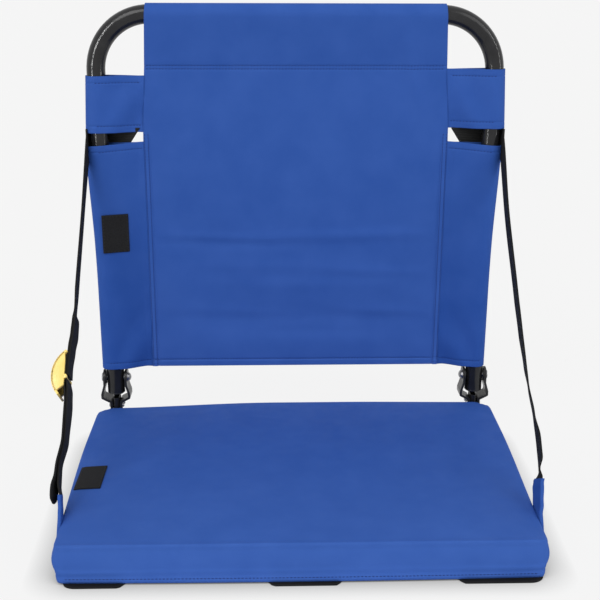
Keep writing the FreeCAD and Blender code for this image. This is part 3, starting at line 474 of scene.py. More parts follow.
reach_x = max(abs(vertex.co.x) for vertex in cushion.data.vertices)
reach_y = max(abs(vertex.co.y) for vertex in cushion.data.vertices)
floor_z = min(vertex.co.z for vertex in cushion.data.vertices)
for vertex in cushion.data.vertices:
    across = vertex.co.x / reach_x
    along = vertex.co.y / reach_y
    rise = (vertex.co.z - floor_z) / (rim_level - floor_z)
    z = cover_low.z + rise * (rim_level - cover_low.z)
    y = along * CUSHION_FRONT
    half = HALF_FRONT + (HALF_REAR - HALF_FRONT) * ramp(*WIDEN_SPAN, y)
    above = z - (rim_level - RIM_SPAN)
    y, lifted = squared(y, CUSHION_FRONT, above, FRONT_SQUARE if y < 0 else REAR_SQUARE)
    x, lifted_side = squared(across * half, half, above, SIDE_SQUARE)
    z = rim_level - RIM_SPAN + max(lifted, lifted_side)
    y, below = squared(y, CUSHION_FRONT, cover_low.z + RIM_SPAN - z, HEM_SQUARE)
    z = cover_low.z + RIM_SPAN - below
    low = 1 - ramp(cover_low.z, FLARE_LEVEL, z)
    groove = HEM_GROOVE * math.exp(-((z - HEM_LEVEL) / HEM_SPREAD) ** 2)
    on_end = ramp(*END_SPAN, abs(along))
    on_flank = ramp(*FLANK_SPAN, abs(across))
    flare = HEM_FLARE + (FRONT_FLARE * (1 - across ** 2) if along < 0 else 0)
    y += math.copysign(low * flare - groove, y) * on_end
    bulge = SIDE_BULGE * math.exp(-((z - BULGE_LEVEL) / BULGE_SPREAD) ** 2)
    x += math.copysign(bulge - groove, x) * on_flank
    inner = (1 - on_end) * (1 - on_flank) * ramp(*TOP_SPAN, rise)
    rear = REAR_LOW + REAR_RISE * ramp(*RISE_SPAN, across) - REAR_DROP * ramp(*DROP_SPAN, across)
    z += rear * ramp(*REAR_SPAN, along) * part_way(0, 1, rise)
    z += DIMPLE * inner * math.sin(x * DIMPLE_ACROSS) * math.sin(y * DIMPLE_ALONG + DIMPLE_START)
    vertex.co = (x + CUSHION_SHIFT, y, max(z, cover_low.z))
smoothed(cushion)
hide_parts("seat_cover", "seat_foam")
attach(cushion, "seat")

# Hem stitching of the cushion: a lockstitch row in blue thread along the front, both sides and the rear.
# Each stitch is a short bead of thread that lies on the cloth where the needle pulled it tight.
STITCH_PITCH = 3.2 * MM
STITCH_SIZE = (1.25 * MM, 0.42 * MM, 0.26 * MM)
CAST_FROM = 0.4
HEM_ROW = 5 * MM
CORNER_CLEAR = 9 * MM


def spun(name, dark, light):
    """Twisted polyester thread."""
    return fibrous(name, dark, light, grain=2600, detail=2, dull=0.6, depth=0.1 * MM, shine=0.15)


def stitch_row(name, finish, frames):
    """A row of stitches, one for each (place, along, outward) in a list."""
    clear_selection()
    bpy.ops.mesh.primitive_uv_sphere_add(segments=6, ring_count=4, radius=1)
    row = fresh(name, finish, STITCH_SIZE)
    step = (STITCH_PITCH, 0, 0)
    finish_with(row, "ARRAY", count=len(frames), use_relative_offset=False, use_constant_offset=True,
                constant_offset_displace=step)
    for vertex in row.data.vertices:
        number = min(max(round(vertex.co.x / STITCH_PITCH), 0), len(frames) - 1)
        place, along, outward = frames[number]
        reach = along * (vertex.co.x - number * STITCH_PITCH)
        vertex.co = place + reach + outward.cross(along) * vertex.co.y + outward * vertex.co.z
    smoothed(row)
    return row


def cast_frames(piece, start, end, ray):
    """Stitch places where a line, moved along a ray, meets a piece's surface."""
    along = (end - start).normalized()
    frames = []
    for number in range(int((end - start).length / STITCH_PITCH) + 1):
        hit, spot, _, _ = piece.ray_cast(start + along * (number * STITCH_PITCH) - ray * CAST_FROM, ray)
        if hit:
            frames.append((spot, along, -ray))
    return frames


def join_into(whole, *others):
    """Join other meshes into one piece."""
    only(whole)
    for other in others:
        other.select_set(True)
    bpy.ops.object.join()


blue_thread = spun("blue_thread", dark=(0.006, 0.020, 0.11), light=(0.012, 0.036, 0.16))
bpy.context.view_layer.update()
ahead = Vector((0, 1, 0))
behind = Vector((0, -1, 0))
hem_x = HALF_FRONT - CORNER_CLEAR
hem_y = CUSHION_FRONT - CORNER_CLEAR
hem_rows = []
for name, start, end, ray in (
    ("seat_hem_stitches", (-hem_x, 0, HEM_ROW), (hem_x, 0, HEM_ROW), ahead),
    ("hem_rear", (-hem_x, 0, HEM_ROW), (hem_x, 0, HEM_ROW), behind),
    ("hem_right", (0, -hem_y, HEM_ROW), (0, hem_y, HEM_ROW), Vector((-1, 0, 0))),
    ("hem_left", (0, -hem_y, HEM_ROW), (0, hem_y, HEM_ROW), Vector((1, 0, 0))),
):
    frames = cast_frames(cushion, Vector(start), Vector(end), ray)
    hem_rows.append(stitch_row(name, blue_thread, frames))
join_into(*hem_rows)
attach(hem_rows[0], "seat")

# Underside: a black coated cloth panel sewn under the cushion.
# Its front edge creeps out from under the cover in three places.
PANEL_WALL = 1.1 * MM
PANEL_CORNER = 14 * MM
PANEL_COLUMNS = 136
PANEL_ROWS = 93
PANEL_CREEP = 13 * MM
CREEP_SPANS = ((-203 * MM, -159 * MM), (-25 * MM, 27 * MM), (139 * MM, 206 * MM))
CREEP_FADE = 12 * MM
CREEP_DEPTH = 50 * MM
panel_low, panel_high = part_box("seat_bottom_panel")


def flat_grid(name, finish, columns, rows, middle=(0.5, 0.5, 0), span=(1, 1, 1)):
    """A flat piece of so many cells, about a middle and over a span."""
    clear_selection()
    bpy.ops.mesh.primitive_grid_add(x_subdivisions=columns, y_subdivisions=rows, size=1, location=middle)
    return fresh(name, finish, span)


def creep_share(x):
    """How far the panel's front edge has crept out at a place across it, from 0 to 1."""
    share = 0
    for low, high in CREEP_SPANS:
        share += ramp(low - CREEP_FADE, low, x) - ramp(high, high + CREEP_FADE, x)
    return share


black_cloth = woven("black_coated_cloth", dark=(0.009, 0.009, 0.010), light=(0.016, 0.016, 0.017))
panel_middle = (0, 0, panel_high.z - PANEL_WALL / 2)
panel_span = (panel_high.x - panel_low.x, panel_high.y - panel_low.y, 1)
panel = flat_grid("seat_underside_cloth", black_cloth, PANEL_COLUMNS, PANEL_ROWS,
                  panel_middle, panel_span)
for vertex in panel.data.vertices:
    place = vertex.co
    hub = Vector((math.copysign(panel_high.x - PANEL_CORNER, place.x),
                  math.copysign(panel_high.y - PANEL_CORNER, place.y)))
    out = place.xy - hub
    if abs(place.x) > abs(hub.x) and abs(place.y) > abs(hub.y) and out.length > 0:
        place.xy = hub + out * (max(abs(out.x), abs(out.y)) / out.length)
    near_front = ramp(panel_low.y + CREEP_DEPTH, panel_low.y, place.y)
    place.y -= PANEL_CREEP * creep_share(place.x) * near_front
finish_with(panel, "SOLIDIFY", thickness=PANEL_WALL, offset=0)
smoothed(panel)
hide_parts("seat_bottom_panel")
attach(panel, "seat")

# Back frame: one length of steel tube bent to an arch and sprayed black; its uprights spring outward.
# Moulded nylon plugs close its lower ends below the hinge pivots.
ARCH_BEND = 56 * MM
ARCH_LEAN = 3 * MM
LEAN_FROM = 170 * MM
LEAN_TO = 345 * MM
RING_POINTS = 40
BEND_STEPS = 20
LEG_RINGS = 24
MERGE_GAP = MM / 100
GLOSS_SPREAD = 0.08
tube_low, tube_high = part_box("back_frame_tube")
tube_radius = (tube_high.y - tube_low.y) / 2
tube_x = tube_high.x - tube_radius
back_y = (tube_low.y + tube_high.y) / 2
arch_top = tube_high.z - tube_radius
bend_z = arch_top - ARCH_BEND


def lean_out(z):
    """How far the springy uprights stand outward at a height."""
    return ARCH_LEAN * ramp(LEAN_FROM, LEAN_TO, z)


def open_all(piece):
    """Open a piece for editing, with all of its points selected."""
    only(piece)
    bpy.ops.object.mode_set(mode="EDIT")
    bpy.ops.mesh.select_mode(type="VERT")
    bpy.ops.mesh.select_all(action="SELECT")


def face_outwards(piece, merge_gap=None):
    """Turn all faces of a piece outwards, after merging what lies double."""
    open_all(piece)
    if merge_gap:
        bpy.ops.mesh.remove_doubles(threshold=merge_gap)
    bpy.ops.mesh.normals_make_consistent(inside=False)
    bpy.ops.object.mode_set(mode="OBJECT")


clear_selection()
bpy.ops.mesh.primitive_circle_add(vertices=RING_POINTS, radius=tube_radius,
                                  location=(-tube_x, back_y, tube_low.z))
arch = fresh("back_arch_tube", tube_enamel)
leg = Vector((0, 0, bend_z - tube_low.z))
crown_run = Vector((2 * (tube_x - ARCH_BEND), 0, 0))
bend_hub = Vector((ARCH_BEND - tube_x, back_y, bend_z))
open_all(arch)
bpy.ops.mesh.extrude_region_move(TRANSFORM_OT_translate={"value": leg})
bpy.ops.mesh.spin(steps=BEND_STEPS, angle=-QUARTER, center=bend_hub, axis=(0, 1, 0))
bpy.ops.mesh.extrude_region_move(TRANSFORM_OT_translate={"value": crown_run})
bpy.ops.mesh.spin(steps=BEND_STEPS, angle=-QUARTER, center=bend_hub + crown_run, axis=(0, 1, 0))
bpy.ops.mesh.extrude_region_move(TRANSFORM_OT_translate={"value": -leg})
bpy.ops.object.mode_set(mode="OBJECT")
face_outwards(arch, MERGE_GAP)
bpy.ops.object.mode_set(mode="EDIT")
pick(arch, "edges", lambda edge: upright(edge, ARCH_BEND))
bpy.ops.mesh.subdivide(number_cuts=LEG_RINGS)
bpy.ops.object.mode_set(mode="OBJECT")
for vertex in arch.data.vertices:
    vertex.co.x += math.copysign(lean_out(vertex.co.z), vertex.co.x)
smoothed(arch)
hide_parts("back_frame_tube")
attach(arch, "back")


def moulded(name, dark, light, dull):
    """Moulded plastic: a fine spark-eroded grain and faint flow marks."""
    return hard_finish(name, dark, light, tone=120, gloss=400, smooth=dull - GLOSS_SPREAD,
                       dull=dull + GLOSS_SPREAD, grain=2200, depth=0.03 * MM)[0]


nylon = moulded("black_nylon", dark=(0.010, 0.010, 0.011), light=(0.020, 0.020, 0.021), dull=0.45)
dress(nylon, "tube_end_plug_right", "tube_end_plug_left")

# Side hinges: bowed steel plates riveted to the crimped tongue of the seat's tube, sprayed black.
# The pivot rivet is dark plated steel and turns between two nylon washers.
plate_enamel = enamel("black_plate_enamel", dark=(0.008, 0.008, 0.009), light=(0.015, 0.015, 0.016),
                      smooth=0.24, dull=0.4)
for side in ("right", "left"):
    dress(plate_enamel, f"hinge_outer_plate_{side}", f"hinge_inner_plate_{side}")
    dress(rivet_steel, f"hinge_pivot_{side}", f"plate_rivets_{side}")
    dress(nylon, f"outer_washer_{side}", f"inner_washer_{side}")

# Centre sleeve of the back: a wide loop of blue cloth over the arch's top run.
# Two stitch rows close its pocket, and below them both layers hang flat together to a hem.
# Its sides are felled over the wings in a narrow raised strip with a stitch row along each edge.
SLEEVE_HALF = 158 * MM
SLEEVE_FLARE = 7.5 * MM
FLARE_FROM = 343 * MM
SLEEVE_BOTTOM = 81 * MM
POCKET_REACH = 52 * MM
LAYER_RADIUS = 10.25 * MM
LAYER_HALF = 0.45 * MM
LAYER_WALL = 0.8 * MM
POCKET_SEAM = arch_top - POCKET_REACH
POCKET_ROWS = (407 * MM, 403.8 * MM)
SLEEVE_HEM = 88.5 * MM
HEM_FADE = 2 * MM
FELL_WIDTH = 6 * MM
FELL_LIFT = 0.8 * MM
FELL_EDGE = 1 * MM
FELL_SEAM = 0.3 * MM
FELL_TOP = 337 * MM
FELL_FADE = 8 * MM
SEW_DEPTH = 0.6 * MM
SEW_SPREAD = 0.9 * MM
BELLY = 1 * MM
SLACK_BELOW = 40 * MM
SLACK_INSET = 20 * MM
CLOTH_STEP = 3.1 * MM
FINE_STEP = 0.9 * MM
SEWN_BAND = 12 * MM
# Painted light: the sleeve's colour is painted lighter towards its lower hem.
SLEEVE_PAINTED_LIGHT = ("Z", 0.090, 0.260, 0.38, 0.02)
CREASE_END = 0.08
CREASES = (
    # from, to (across and up, mm), width and depth in mm
    ((107, 452), (132, 345), 7, 1.4),
    ((-40, 228), (150, 231), 6, 1.7),
    ((-120, 196), (80, 194), 8, 0.8),
    ((-100, 176), (120, 173), 8, 0.9),
    ((-150, 139), (150, 137), 14, -1.9),
    ((-130, 105), (140, 108), 14, 1.1),
    ((-90, 300), (-30, 150), 22, 1.0),
    ((60, 330), (110, 215), 18, -0.8),
    ((-152, 231), (-15, 226), 4, 1.0),
    ((-150, 222), (10, 219), 5, -0.8),
    ((25, 192), (150, 187), 5, 0.9),
    ((40, 146), (153, 142), 6, 1.3),
    ((-145, 148), (5, 141), 6, 0.9),
    ((-60, 122), (100, 120), 6, -0.8),
)
_, sleeve_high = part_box("back_sleeve")


def crease_push(x, z):
    """How far the back's soft creases push its cloth forward at a place, in metres."""
    push = 0
    for start, end, width, depth in CREASES:
        spot = Vector((x, z)) / MM - Vector(start)
        way = Vector(end) - Vector(start)
        share = part_way(0, way.length_squared, spot.dot(way))
        away = (spot - way * share).length
        fade = math.sin(math.pi * (CREASE_END + (1 - 2 * CREASE_END) * share))
        push += depth * MM * math.exp(-((away / width) ** 2)) * fade
    return push


def loop_length(reach, tail):
    """The length of cloth in a loop: two tails, two straight layers and the turn round the tube."""
    lean = math.asin(LAYER_RADIUS / reach)
    return 2 * (tail + reach * math.cos(lean)) + LAYER_RADIUS * (math.pi + 2 * lean)


def loop_place(reach, tail, run):
    """A place along a cloth loop, as (along, across) from the tube's axis, plus its layer.
    The run goes from the tail of the rear layer (1), round the tube, to the tail of the front one (-1)."""
    lean = math.asin(LAYER_RADIUS / reach)
    straight = reach * math.cos(lean)
    total = loop_length(reach, tail)
    layer = 1
    if run > total / 2:
        run = total - run
        layer = -1
    if run <= tail:
        return -(reach + tail - run), layer * LAYER_HALF, layer
    if run <= tail + straight:
        end = Vector((-LAYER_RADIUS * math.sin(lean), LAYER_RADIUS * math.cos(lean)))
        spot = Vector((-reach, LAYER_HALF)).lerp(end, (run - tail) / straight)
        return spot.x, layer * spot.y, layer
    angle = QUARTER + lean - (run - tail - straight) / LAYER_RADIUS
    return LAYER_RADIUS * math.cos(angle), layer * LAYER_RADIUS * math.sin(angle), layer


def half_width(z):
    """Half the sleeve's width at a height: it narrows above the slots."""
    return SLEEVE_HALF - SLEEVE_FLARE * part_way(FLARE_FROM, sleeve_high.z, z)


def pressed(distance):
    """How deep a stitch row presses the cloth at a distance from it."""
    return SEW_DEPTH * math.exp(-((distance / SEW_SPREAD) ** 2))


def sleeve_relief(x, z):
    """How far the sewing lifts the sleeve's cloth at a place."""
    inset = half_width(z) - abs(x)
    felled = 1 - ramp(FELL_TOP - FELL_FADE, FELL_TOP, z)
    strip = ramp(0, FELL_EDGE, inset) - ramp(FELL_WIDTH - FELL_EDGE, FELL_WIDTH, inset)
    lift = felled * (FELL_LIFT * strip - pressed(inset - FELL_WIDTH - FELL_SEAM))
    hemmed = 1 - ramp(SLEEVE_HEM - HEM_FADE, SLEEVE_HEM, z)
    lift += FELL_LIFT / 2 * hemmed - pressed(z - SLEEVE_HEM)
    return lift - sum(pressed(z - row) for row in POCKET_ROWS)


def stations(length, fine_spans):
    """Distances along a cloth, in coarse steps with fine ones where it is sewn."""
    places = [0]
    while places[-1] < length - FINE_STEP / 2:
        here = places[-1]
        fine = any(low <= here < high for low, high in fine_spans)
        places.append(min(here + (FINE_STEP if fine else CLOTH_STEP), length))
    places[-1] = length
    return places


def cloth_grid(name, finish, columns, rows):
    """A piece of cloth whose vertices hold their (column, row) numbers until it is laid."""
    middle = (columns / 2, rows / 2, 0)
    return flat_grid(name, finish, columns, rows, middle, (columns, rows, 1))


def cloth_done(piece, wall):
    """Give a laid cloth its thickness, face it outwards and smooth it."""
    finish_with(piece, "SOLIDIFY", thickness=wall, offset=0)
    face_outwards(piece)
    smoothed(piece)


sleeve_tail = POCKET_SEAM - SLEEVE_BOTTOM
sleeve_run = loop_length(POCKET_REACH, sleeve_tail)
sleeve_span = 2 * SLEEVE_HALF
sleeve_columns = stations(sleeve_span, ((0, SEWN_BAND), (sleeve_span - SEWN_BAND, sleeve_span)))
pocket_low = sleeve_tail - SEWN_BAND / 2
pocket_high = sleeve_tail + SEWN_BAND / 2
sleeve_rows = stations(sleeve_run, (
    (0, SEWN_BAND), (pocket_low, pocket_high),
    (sleeve_run - pocket_high, sleeve_run - pocket_low), (sleeve_run - SEWN_BAND, sleeve_run)))
sleeve_cloth = woven("blue_sleeve_cloth", BLUE_DARK, BLUE_LIGHT, SLEEVE_PAINTED_LIGHT)
sleeve = cloth_grid("back_centre_sleeve", sleeve_cloth, len(sleeve_columns) - 1, len(sleeve_rows) - 1)
for vertex in sleeve.data.vertices:
    along, across, layer = loop_place(POCKET_REACH, sleeve_tail, sleeve_rows[round(vertex.co.y)])
    z = arch_top + along
    half = half_width(z)
    x = (sleeve_columns[round(vertex.co.x)] / SLEEVE_HALF - 1) * half
    slack = ramp(0, SLACK_BELOW, sleeve_high.z - z) * ramp(0, SLACK_INSET, half - abs(x))
    belly = BELLY * (1 - (x / half) ** 2) * math.sin(math.pi * ramp(SLEEVE_BOTTOM, POCKET_SEAM, z))
    push = crease_push(x, z) * slack + belly
    vertex.co = (x, back_y + across - push + layer * sleeve_relief(x, z), z)
cloth_done(sleeve, LAYER_WALL)
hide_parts("back_sleeve")
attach(sleeve, "back")

# Tabs and wings: loops of the same cloth round the arch's uprights, sewn to the sleeve's sides.
# They fit loosely round the tube, and the wings sag towards their lower hem.
# At its top each wing spreads round the webbing, and its edge slants down to the outside.
WING_REACH = 35.3 * MM
WING_TAIL = 7.2 * MM
WING_HEM = 7 * MM
# Painted shade: the wings' colour is painted darker towards their lower hem, where they sag away from the
# light.
WING_PAINTED_SHADE = ("Z", 0.130, 0.320, -0.45, -0.05)
TAB_LOOSE = 3.3 * MM
TAB_TAPER = 0.9
TAB_BOTTOM = {"right": 1 * MM, "left": -3.2 * MM}
TAB_TOP = {"right": 4.3 * MM, "left": -2.8 * MM}
WING_LOOSE = {"right": 0, "left": 3 * MM}
LOOSE_SPAN = (-14 * MM, 7 * MM)
WING_SPREAD = 1.8 * MM
SPREAD_FROM = 0.55
WING_SLANT = 4 * MM
SLANT_FROM = 0.85
SLANT_AT_ROW = 0.8
WING_FOLD = 1.8 * MM
FOLD_HEIGHT = 90 * MM
FOLD_INSET = 20 * MM
FOLD_START = 140 * MM
FOLD_ACROSS = 130
FOLD_UP = 95
ROW_INSET = 3 * MM
ROW_PAST_TUBE = 4 * MM
STRAIGHT_REACH = WING_REACH - LAYER_RADIUS ** 2 / WING_REACH
WING_SPAN = WING_REACH + WING_TAIL + LAYER_RADIUS
tab_cloth = woven("blue_tab_cloth", BLUE_DARK, BLUE_LIGHT)
wing_cloth = woven("blue_wing_cloth", BLUE_DARK, BLUE_LIGHT, WING_PAINTED_SHADE)
wing_run = loop_length(WING_REACH, WING_TAIL)
wing_columns = stations(wing_run, ((0, WING_TAIL), (wing_run - WING_TAIL, wing_run)))
cloth_stitches = []


def sew_back(piece, start, end):
    """Sew a row through a piece of the back, so that it shows on both faces."""
    for ray in (ahead, behind):
        frames = cast_frames(piece, start, end, ray)
        cloth_stitches.append(stitch_row(f"row_{len(cloth_stitches)}", blue_thread, frames))


bpy.context.view_layer.update()
for name, hand in (("right", 1), ("left", -1)):
    for band in ("upper_tab", "lower_wing"):
        node = f"back_{band}_{name}"
        low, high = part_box(node)
        is_tab = band == "upper_tab"
        bottom = low.z + (TAB_BOTTOM[name] if is_tab else 0)
        top = high.z + (TAB_TOP[name] if is_tab else 0)
        height = top - bottom
        wing_rows = stations(height, ((0, SEWN_BAND), (height - SEWN_BAND, height)))
        cloth = tab_cloth if is_tab else wing_cloth
        loop = cloth_grid(f"back_{band}_cloth_{name}", cloth, len(wing_columns) - 1, len(wing_rows) - 1)
        for vertex in loop.data.vertices:
            z = bottom + wing_rows[round(vertex.co.y)]
            rise = (z - bottom) / height
            along, across, layer = loop_place(WING_REACH, WING_TAIL, wing_columns[round(vertex.co.x)])
            from_tail = along + WING_REACH + WING_TAIL
            x = tube_x + along - ramp(0, WING_REACH, -along) * (SLEEVE_HALF - half_width(z))
            if is_tab:
                loose = TAB_LOOSE * (1 - TAB_TAPER * rise)
            else:
                loose = WING_LOOSE[name] + WING_SPREAD * ramp(SPREAD_FROM, 1, rise)
            x += loose * ramp(*LOOSE_SPAN, along)
            x += lean_out(z) * part_way(0, STRAIGHT_REACH, along + WING_REACH)
            sag = (1 - ramp(0, FOLD_HEIGHT, z - bottom)) * ramp(0, FOLD_INSET, -along)
            fold = WING_FOLD * sag * math.sin((x - FOLD_START) * FOLD_ACROSS + z * FOLD_UP)
            sewn = pressed(z - bottom - WING_HEM) + pressed(top - z - WING_HEM)
            free = ramp(0, WING_TAIL, from_tail)
            if not is_tab:
                z -= WING_SLANT * ramp(SLANT_FROM, 1, rise) * from_tail / WING_SPAN
            vertex.co = (hand * x, back_y + across - fold - layer * sewn * free, z)
        cloth_done(loop, LAYER_WALL)
        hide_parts(node)
        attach(loop, "back")
        bpy.context.view_layer.update()
        near_x = hand * (SLEEVE_HALF + ROW_INSET)
        far_x = hand * (tube_x + ROW_PAST_TUBE)
        drop = 0 if is_tab else SLANT_AT_ROW * WING_SLANT
        low_row = bottom + WING_HEM
        high_row = top - WING_HEM
        sew_back(loop, Vector((near_x, back_y, low_row)), Vector((far_x, back_y, low_row)))
        sew_back(loop, Vector((near_x, back_y, high_row)), Vector((far_x, back_y, high_row - drop)))

# Stitching of the back: the pocket's two rows, the hem's row and the rows along the felled sides.
# All are lockstitch in blue thread, drawn tight enough to press a line in the cloth on both faces.
ROW_END = 3 * MM
FELL_SEW = 1.2 * MM
FELL_FOOT = 84 * MM
for level in (*POCKET_ROWS, SLEEVE_HEM):
    x = half_width(level) - ROW_END
    sew_back(sleeve, Vector((-x, back_y, level)), Vector((x, back_y, level)))
for side in (-1, 1):
    for inset in (FELL_SEW, FELL_WIDTH - FELL_SEW):
        x = side * (half_width(FELL_FOOT) - inset)
        sew_back(sleeve, Vector((x, back_y, FELL_FOOT)), Vector((x, back_y, FELL_TOP)))
join_into(*cloth_stitches)
back_stitches = cloth_stitches[0]
back_stitches.name = "back_cloth_stitches"
back_stitches.data.name = "back_cloth_stitches"
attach(back_stitches, "back")

# Hook and loop patches: a hook square sewn to the left wing and a loop square on the cushion's edge.
# Both are black nylon tape, one set with short hooks and the other with a brushed pile.
PATCH_WALL = 1.2 * MM
PATCH_CELL = 2 * MM
PATCH_EDGE = 0.3 * MM
PATCH_CREASE = 40
PATCH_SEW = 1.6 * MM


def pile(name, dark, light, tufts):
    """Brushed or hooked nylon: dark, dull and broken up at the scale of its tufts."""
    return fibrous(name, dark, light, grain=tufts, detail=6, dull=0.85, depth=0.4 * MM, shine=0.2)


black_thread = spun("black_thread", dark=(0.010, 0.010, 0.011), light=(0.030, 0.030, 0.031))


def tape_patch(name, node, finish, body, flat, lay, outward):
    """A square of tape laid on its carrier; lay turns shares of its width and length into a place."""
    columns, rows = (round(side / PATCH_CELL) for side in flat)
    patch = flat_grid(name, finish, columns, rows)
    for vertex in patch.data.vertices:
        vertex.co = lay(vertex.co.x, vertex.co.y)
    finish_with(patch, "SOLIDIFY", thickness=PATCH_WALL, offset=0)
    finish_with(patch, "BEVEL", width=PATCH_EDGE, segments=2, limit_method="ANGLE")
    smoothed(patch, PATCH_CREASE)
    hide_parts(node)
    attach(patch, body)
    u = PATCH_SEW / flat[0]
    v = PATCH_SEW / flat[1]
    corners = ((u, v), (1 - u, v), (1 - u, 1 - v), (u, 1 - v))
    frames = []
    for number, start in enumerate(corners):
        end = corners[(number + 1) % 4]
        way = lay(*end) - lay(*start)
        count = int(way.length / STITCH_PITCH)
        for step in range(count):
            spot = lay(*(a + (b - a) * step / count for a, b in zip(start, end)))
            frames.append((spot + outward * PATCH_WALL / 2, way.normalized(), outward))
    sewing = stitch_row(name + "_stitches", black_thread, frames)
    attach(sewing, body)
    return patch


HOOK_FLAT = (28 * MM, 41 * MM)
HOOK_SHIFT = -3.4 * MM
HOOK_GAP = 0.1 * MM
hook_tape = pile("black_hook_tape", dark=(0.005, 0.005, 0.006), light=(0.014, 0.014, 0.015), tufts=900)
hook_low, hook_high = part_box("back_hook_patch")
hook_aside = lean_out((hook_low.z + hook_high.z) / 2)
hook_lean = math.asin(LAYER_RADIUS / (WING_REACH + hook_aside))
hook_out = Vector((math.sin(hook_lean), -math.cos(hook_lean), 0))
hook_along = Vector((math.cos(hook_lean), math.sin(hook_lean), 0))
hook_lift = LAYER_RADIUS + LAYER_WALL / 2 + PATCH_WALL / 2 + HOOK_GAP
hook_tube = tube_x + hook_aside
hook_from = (hook_low.x + HOOK_SHIFT + hook_tube - hook_out.x * hook_lift) / hook_along.x
hook_corner = Vector((-hook_tube, back_y, hook_low.z)) + hook_out * hook_lift + hook_along * hook_from


def on_wing(u, v):
    """A place on the front of the left wing, just proud of its cloth."""
    return hook_corner + hook_along * (u * HOOK_FLAT[0]) + Vector((0, 0, v * HOOK_FLAT[1]))


hook_patch = tape_patch(
    "back_hook_tape", "back_hook_patch", hook_tape, "back", HOOK_FLAT, on_wing, hook_out)

LOOP_FLAT = (25 * MM, 46 * MM)
LOOP_FORWARD = 4 * MM
LOOP_GAP = 0.05 * MM
RIM_CLEAR = 5 * MM
RIM_FALL = 0.2
loop_tape = pile("black_loop_tape", dark=(0.004, 0.004, 0.005), light=(0.012, 0.012, 0.013), tufts=1400)
loop_low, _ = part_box("seat_loop_patch")
upward = Vector((0, 0, 1))


def on_cushion(u, v):
    """A place on the cushion's top, just proud of the cover; past the rim it bends down."""
    x = loop_low.x + u * LOOP_FLAT[0]
    y = loop_low.y - LOOP_FORWARD + v * LOOP_FLAT[1]
    inside = max(x, CUSHION_SHIFT - HALF_FRONT + RIM_CLEAR)
    _, spot, _, _ = cushion.ray_cast(Vector((inside, y, CAST_FROM)), -upward)
    return Vector((x, y, spot.z + PATCH_WALL / 2 + LOOP_GAP - RIM_FALL * (inside - x)))


loop_patch = tape_patch(
    "seat_loop_tape", "seat_loop_patch", loop_tape, "seat", LOOP_FLAT, on_cushion, upward)

# Side straps: black polyester webbing, sewn to a band behind each upright of the arch.
# The right one runs whole to its flap; the left one is cut and joined by the buckle.
# Both hang a little slack, so they bow out and twist on their way down.
STRAP_WIDTH = 20 * MM
STRAP_WALL = 1.4 * MM
STRAP_CREASE = 50
BAND_X = 211.85 * MM
BAND_RUN = 33 * MM
BAND_SLANT = 7 * MM
STRAP_HEAD = Vector((0, 156 * MM, 334 * MM))
STRAP_FOOT = Vector((0, -94 * MM, 36 * MM))
WEB_DARK = (0.009, 0.009, 0.009)
WEB_LIGHT = (0.022, 0.022, 0.022)
WEB_CORDS = 11
WEB_PICK = 1.1 * MM
PICK_SHARE = 0.3
WEB_DULL = 0.75
WEB_SHINE = 0.12
WEB_DEPTH = 0.25 * MM
WEB_COLUMNS = 8
WEB_CELL = 3 * MM
TIP_ROUND = 0.96
STRAP_KEYS = {
    # distance from the foot (mm), distance from the middle plane (mm), twist (degrees)
    1: ((-30, 211, 0), (-6, 211.5, 2), (4, 213.2, 3), (22, 214.8, 5), (29, 216.3, 5), (36, 217.9, -13),
        (48, 219.9, -4), (66, 220, -4), (88, 218.2, -12), (118, 215.8, -14), (140, 214.7, -9),
        (175, 213.6, -5), (210, 213, -4), (290, 212.2, -3), (389, 214.5, 0)),
    -1: ((-30, 213.6, 0), (-6, 214.2, -2), (4, 215, -4), (16, 216.2, -4), (29, 218.6, -3), (44, 218.9, -3),
         (70, 215.1, 0), (100, 214.7, 4), (115, 215.2, 3), (130, 217.8, 1), (140, 218, 1), (157, 216.9, 2),
         (172, 215.4, 3), (185, 215.2, 1), (196, 215.1, -6), (218, 215.2, -3), (300, 214.8, -4),
         (389, 214.8, 0)),
}
strap_way = STRAP_HEAD - STRAP_FOOT
strap_length = strap_way.length
strap_along = strap_way.normalized()
strap_across = Vector((0, -strap_along.z, strap_along.y))


def webbing(name, length):
    """Woven webbing: ribs along its length, crossed by close picks, on the piece's own UV map."""
    finish, tree, surface = new_finish(name)
    flat = add_node(tree, "TexCoord").outputs["UV"]
    yarns = sine_waves(tree, flat, (WEB_CORDS * math.pi, length / WEB_PICK * 2 * math.pi, 1))
    height = worked(tree, "MULTIPLY_ADD", yarns["Y"], PICK_SHARE, worked(tree, "ABSOLUTE", yarns["X"]))
    tree.links.new(two_tone(tree, height, WEB_DARK, WEB_LIGHT), surface.inputs["Base Color"])
    surface.inputs["Roughness"].default_value = WEB_DULL
    surface.inputs["Specular IOR Level"].default_value = WEB_SHINE
    raised(tree, surface, height, WEB_DEPTH)
    return finish


def ribbon(name, length, lie, slant=0, rounding=0):
    """A length of webbing; lie turns a share of its length into (centre, across).
    Its far end may be cut on a slant or rounded off."""
    finish = webbing(name + "_web", length)
    strap = flat_grid(name, finish, WEB_COLUMNS, round(length / WEB_CELL))
    for vertex in strap.data.vertices:
        side = 2 * vertex.co.x - 1
        share = vertex.co.y
        centre, across = lie(share * (1 + side * slant / length))
        near_end = max(0, 1 - (1 - share) * length / rounding) if rounding else 0
        vertex.co = centre + across * (side * STRAP_WIDTH / 2 * math.sqrt(1 - TIP_ROUND * near_end ** 2))
    finish_with(strap, "SOLIDIFY", thickness=STRAP_WALL, offset=0)
    face_outwards(strap)
    smoothed(strap, STRAP_CREASE)
    return strap


